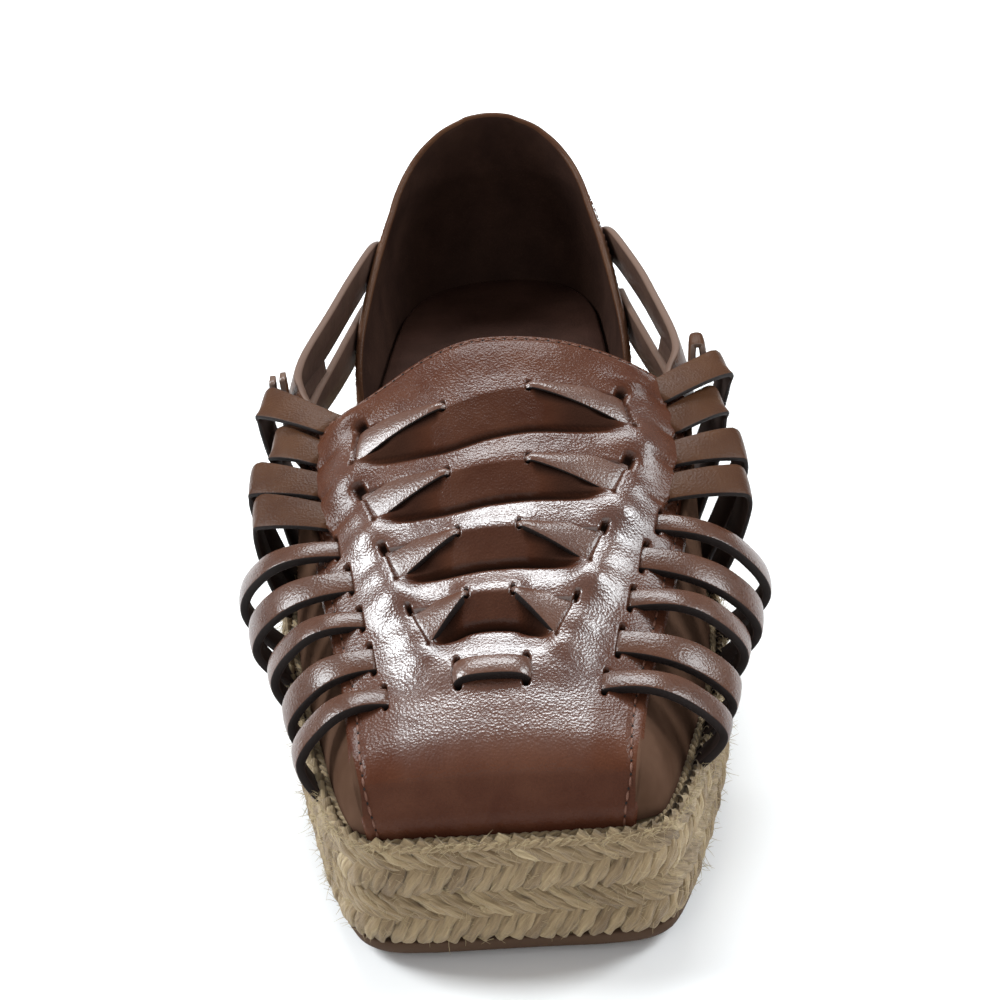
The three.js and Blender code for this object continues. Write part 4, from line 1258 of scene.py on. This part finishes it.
def strands(piece, place, path, half_width, half_depth, centre, seed, twist):
    """Twisted strands that repeat round the rim along one path."""
    random = np.random.default_rng(seed)
    count, steps, around = len(place), len(path[0]), 13
    sway = random.normal(0, SWAY, (count, 3))
    u = place[:, None] + path[0] + sway[:, :1]
    v = path[1] * (1 + 0.04 * sway[:, 1:2]) + 0.8 * sway[:, 1:2]
    w = path[2] + 0.7 * sway[:, 2:3]
    flat, outward = RIM.at(u, -w)
    middle = raised(flat, centre + v)
    turn = np.linspace(0, 2 * np.pi, around + 1)
    t = np.linspace(0, 1, steps)
    size = 1 + random.normal(0, 0.07, count)
    taper = np.sin(np.pi * np.clip(0.2 + 0.6 * t, 0, 1)) ** 0.35
    phase = random.uniform(0, 2 * np.pi, count)
    angle = PLY_COUNT * turn - twist * 2 * np.pi * t[:, None] + phase[:, None, None]
    size = (size[:, None] * taper)[..., None] * (1 + PLY_SWELL * np.cos(angle))
    points = tube(middle, outward, half_width * size, half_depth * size, turn)
    length = np.linalg.norm(np.diff(middle, axis=1), axis=-1).sum(1)
    tone = np.clip(random.normal(0.0, 0.22, count), -0.6, 0.6)
    faces = grid_faces(steps, around + 1)
    for k in range(count):
        uv = np.stack(np.broadcast_arrays((t * length[k])[:, None] + k * 17.3, turn / (2 * np.pi) * 9.0), -1)
        piece.add(points[k], faces, 0, uv, tone=float(tone[k]))


CORD_INSETS = (1.3, 3.0)
CORD_TURN = 5.5
CORD_SINK = 0.9
CORD_WANDER = 0.25
PLY_RADIUS = 0.52
PLY_OFFSET = 0.5


def cords():
    """Twisted cords that run round the top edge of the platform."""
    piece = Piece()
    count, around = 800, 9
    turn = np.linspace(0, 2 * np.pi, around)
    marks = np.linspace(0, RIM.length, count + 1)
    turns = np.round(RIM.length / CORD_TURN) * marks / RIM.length
    for number, inset in enumerate(CORD_INSETS):
        wander = CORD_WANDER * ripples(marks, 0 * marks, 60, 18, 8, 81 + number)
        for ply in range(PLY_COUNT):
            angle = 2 * np.pi * (turns + ply / PLY_COUNT) + number
            flat, outward = RIM.at(marks, inset - PLY_OFFSET * np.cos(angle) + wander)
            middle = raised(flat, SOLE_HEIGHT - CORD_SINK + PLY_OFFSET * np.sin(angle))
            points = tube(middle, outward, PLY_RADIUS, PLY_RADIUS, turn)
            uv = np.stack(np.broadcast_arrays(marks[:, None] + 40 * ply, turn / 2), -1)
            piece.add(points, grid_faces(count + 1, around), 0, uv, tone=0.12 * (ply - 1))
    piece.make("braid_rim", (JUTE,), "jute")


CORE_TOP = SOLE_HEIGHT - 0.6
CORE_EDGE = ((OUTSOLE_THICKNESS + 0.1, 2.4), (SOLE_HEIGHT - 1.2, 2.4), (CORE_TOP, 3.2))


def braid():
    count = int(round(RIM.length / STRAND_PITCH))
    place = np.arange(count) * RIM.length / count
    t = np.linspace(0, 1, 15)
    dome = np.sin(np.pi * (0.08 + 0.84 * t))
    for row in range(BRAID_ROWS):
        piece = Piece()
        centre = OUTSOLE_THICKNESS + JOIN_GAP + (row + 0.5) * BRAID_HEIGHT
        for reach, start, first, last, swell, half_width, half_depth, seed, twist in STRANDS:
            path = reach * t + start, first + (last - first) * t, swell * dome - STRAND_INSET
            strands(piece, place, path, half_width, half_depth, centre, seed + row, twist)
        piece.make(f"braid_row_{row + 1}", (JUTE,), "jute", node="midsole" if row == 0 else None)
    cords()

    rings = [raised(RIM.round(700, inset)[1], height) for height, inset in CORE_EDGE]
    flat = rings[-1][:, :2]
    spine = middle_line(flat)
    rings += [raised(spine + (flat - spine) * share, CORE_TOP) for share in (0.5, 0.0)]
    make_rings(rings, "platform_core", (CORE,), "jute")


FIBRE_COUNT = 6000
FIBRE_RADIUS = 0.055
FIBRE_LENGTH = (0.8, 3.2)
FIBRE_TAPER = ((0, 1), (0.35, 0.9), (0.7, 0.7), (1, 0.25))


def fuzz():
    random = np.random.default_rng(71)
    count = FIBRE_COUNT
    place = random.uniform(0, RIM.length, count)
    height = np.where(random.random(count) < 0.3, random.normal(SOLE_HEIGHT - 0.4, 0.5, count),
                      random.uniform(OUTSOLE_THICKNESS + 0.6, SOLE_HEIGHT - 0.2, count))
    height = np.minimum(height, SOLE_HEIGHT + 0.2)
    flat, outward = RIM.at(place, 0.5)
    root = raised(flat, height)
    out = level_out(outward)
    run = np.column_stack((-outward[:, 1], outward[:, 0], np.zeros(count)))
    aim = unit(out * random.uniform(0.15, 0.9, (count, 1)) + run * random.normal(0, 0.9, (count, 1))
               + np.array((0, 0, 1)) * random.normal(0.1, 0.6, (count, 1)))
    length = random.uniform(*FIBRE_LENGTH, (count, 1))
    bend = unit(np.cross(aim, random.normal(0, 1, (count, 3)))) * length
    bend = bend * random.uniform(0.1, 0.45, (count, 1))
    piece = Piece()
    first = unit(np.cross(aim, np.array((0.3, 0.5, 0.8))))
    second = np.cross(aim, first)
    rings = []
    for share, size in FIBRE_TAPER:
        middle = root + aim * length * share + bend * share * share
        rings.append(np.stack([middle + (first * math.cos(a) + second * math.sin(a)) * FIBRE_RADIUS * size
                               for a in (0, 2.094, 4.189)], 1))
    points = np.stack(rings, 1)
    faces = grid_faces(len(FIBRE_TAPER), 3, True)
    for k in range(count):
        piece.add(points[k], faces, 0)
    piece.make("loose_fibres", (FIBRE,), "jute", turn=False)


def capsule_row(piece, points, normals, runs, length, width, height, kind):
    """Short rounded stitches lying on a surface."""
    around, along = 8, 5
    turn = np.linspace(0, 2 * np.pi, around, endpoint=False)
    side = unit(np.cross(normals, runs))
    rings = []
    for s in np.linspace(-1, 1, along):
        size = math.sqrt(max(1 - s * s * 0.92, 0.02))
        rings.append(points[:, None] + runs[:, None] * (s * length / 2)
                     + side[:, None] * (np.cos(turn) * width / 2 * size)[None, :, None]
                     + normals[:, None] * (np.sin(turn) * height / 2 * size)[None, :, None])
    grid = np.stack(rings, 1)
    end = np.arange(around)
    faces = list(grid_faces(along, around, True)) + [end, (along - 1) * around + end]
    for k in range(len(points)):
        piece.add(grid[k], faces, kind)


HOLE_HEIGHT = 0.34


def stitch_line(piece, line, normals, pitch, length, width, height, hole):
    """Even stitches along a line, with a dark bead of painted shade for the needle hole between each two."""
    marks = path_marks(line)
    count = max(int(marks[-1] / pitch), 2)
    place = (np.arange(count) + 0.5) * marks[-1] / count
    between = place + marks[-1] / count / 2
    between = between[between < marks[-1]]
    sizes = (length, width, height), (hole, hole * 0.8, HOLE_HEIGHT)
    for kind, (at, size) in enumerate(zip((place, between), sizes)):
        runs = unit(read_line(at + 0.3, marks, line) - read_line(at - 0.3, marks, line))
        normal = unit(read_line(at, marks, normals))
        capsule_row(piece, read_line(at, marks, line), normal, runs, *size, kind)


def stitches(outer, normal, edge, throat):
    piece = Piece()
    rows, columns = outer.shape[:2]
    for side in SIDES:
        line, normals = [], []
        for i in range(4, rows - 8):
            places = edge[i] if side == LATERAL else edge[i][::-1]
            j = int(np.argmin(np.abs(places[: columns // 2] - EDGE_SEAM)))
            j = j if side == LATERAL else columns - 1 - j
            line.append(outer[i, j])
            normals.append(normal[i, j])
        stitch_line(piece, np.array(line), np.array(normals), *EDGE_STITCH)
    i = int(np.argmin(np.abs(throat[:, 0] - THROAT_SEAM)))
    stitch_line(piece, outer[i, 6:-6], normal[i, 6:-6], *THROAT_STITCH)
    piece.make("stitches", (THREAD, NEEDLE_HOLE_SHADE), "leather")


surface_grid = vamp()
woven_rows()
side_straps()
side_lining()
quarters()
counter()
insole()
outsole()
braid()
fuzz()
stitches(*surface_grid)

# Floor, light and camera
FLOOR_SIZE = 6.0
FLOOR_COLOUR = linear(244, 244, 244)
WORLD_STRENGTH = 0.25
mesh = bpy.data.meshes.new("floor")
half = FLOOR_SIZE / 2
mesh.from_pydata([(-half, -half, 0), (half, -half, 0), (half, half, 0), (-half, half, 0)], [], [(0, 1, 2, 3)])
floor = bpy.data.objects.new("floor", mesh)
bpy.context.scene.collection.objects.link(floor)
mesh.materials.append(plain("white floor", FLOOR_COLOUR, 0.7))

world = bpy.context.scene.world or bpy.data.worlds.new("world")
bpy.context.scene.world = world
world.use_nodes = True
backdrop = world.node_tree.nodes["Background"]
backdrop.inputs["Color"].default_value = (1.0, 1.0, 1.0, 1.0)
backdrop.inputs["Strength"].default_value = WORLD_STRENGTH


def area_light(name, place, target, size, energy, colour=(1.0, 1.0, 1.0)):
    data = bpy.data.lights.new(name, "AREA")
    data.shape = "RECTANGLE"
    data.size, data.size_y = size
    data.energy = energy
    data.color = colour
    lamp = bpy.data.objects.new(name, data)
    lamp.location = place
    lamp.rotation_mode = "QUATERNION"
    lamp.rotation_quaternion = (Vector(target) - Vector(place)).to_track_quat("-Z", "Y")
    bpy.context.scene.collection.objects.link(lamp)


# Soft lamps: place, target, size, watts and colour
DAYLIGHT = (0.92, 0.97, 1.0)
VAMP_SPOT = (0.0, -0.04, 0.04)
area_light("back softbox", (0.0, 0.78, 1.12), VAMP_SPOT, (0.9, 0.34), 18, DAYLIGHT)
area_light("left softbox", (-0.98, 0.2, 0.8), VAMP_SPOT, (0.4, 0.6), 20, DAYLIGHT)
area_light("right softbox", (0.98, 0.2, 0.8), VAMP_SPOT, (0.4, 0.6), 13, DAYLIGHT)
area_light("front fill", (0.0, -1.75, 1.05), (0.0, 0.0, 0.03), (3.2, 2.0), 21)

# The photograph's viewpoint, turned to look at the middle of the shoe
EYE = (18.04, -295.67, 259.6)
PHOTO_YAW = 6.5
PHOTO_PITCH = 34.0
PHOTO_FOCAL = 1.5
SHOE_IN_PHOTO = (0.293, 0.378)
LENS = 78.0
SENSOR_WIDTH = 36.0
yaw, pitch = math.radians(PHOTO_YAW), math.radians(PHOTO_PITCH)
forward = Vector((math.sin(yaw) * math.cos(pitch), math.cos(yaw) * math.cos(pitch), -math.sin(pitch)))
right = Vector((math.cos(yaw), -math.sin(yaw), 0))
upward = right.cross(forward)
aim = (forward + right * ((SHOE_IN_PHOTO[0] - 0.5) / PHOTO_FOCAL)
       + upward * ((0.5 - SHOE_IN_PHOTO[1]) / PHOTO_FOCAL)).normalized()
turn = forward.rotation_difference(aim)
axes = Matrix((right, upward, -forward)).transposed()
data = bpy.data.cameras.new("camera")
data.lens = LENS
data.sensor_width = SENSOR_WIDTH
camera = bpy.data.objects.new("camera", data)
camera.rotation_mode = "QUATERNION"
camera.rotation_quaternion = turn @ axes.to_quaternion()
camera.location = to_frame(EYE)
bpy.context.scene.collection.objects.link(camera)
bpy.context.scene.camera = camera

bpy.context.scene.view_settings.view_transform = "Standard"
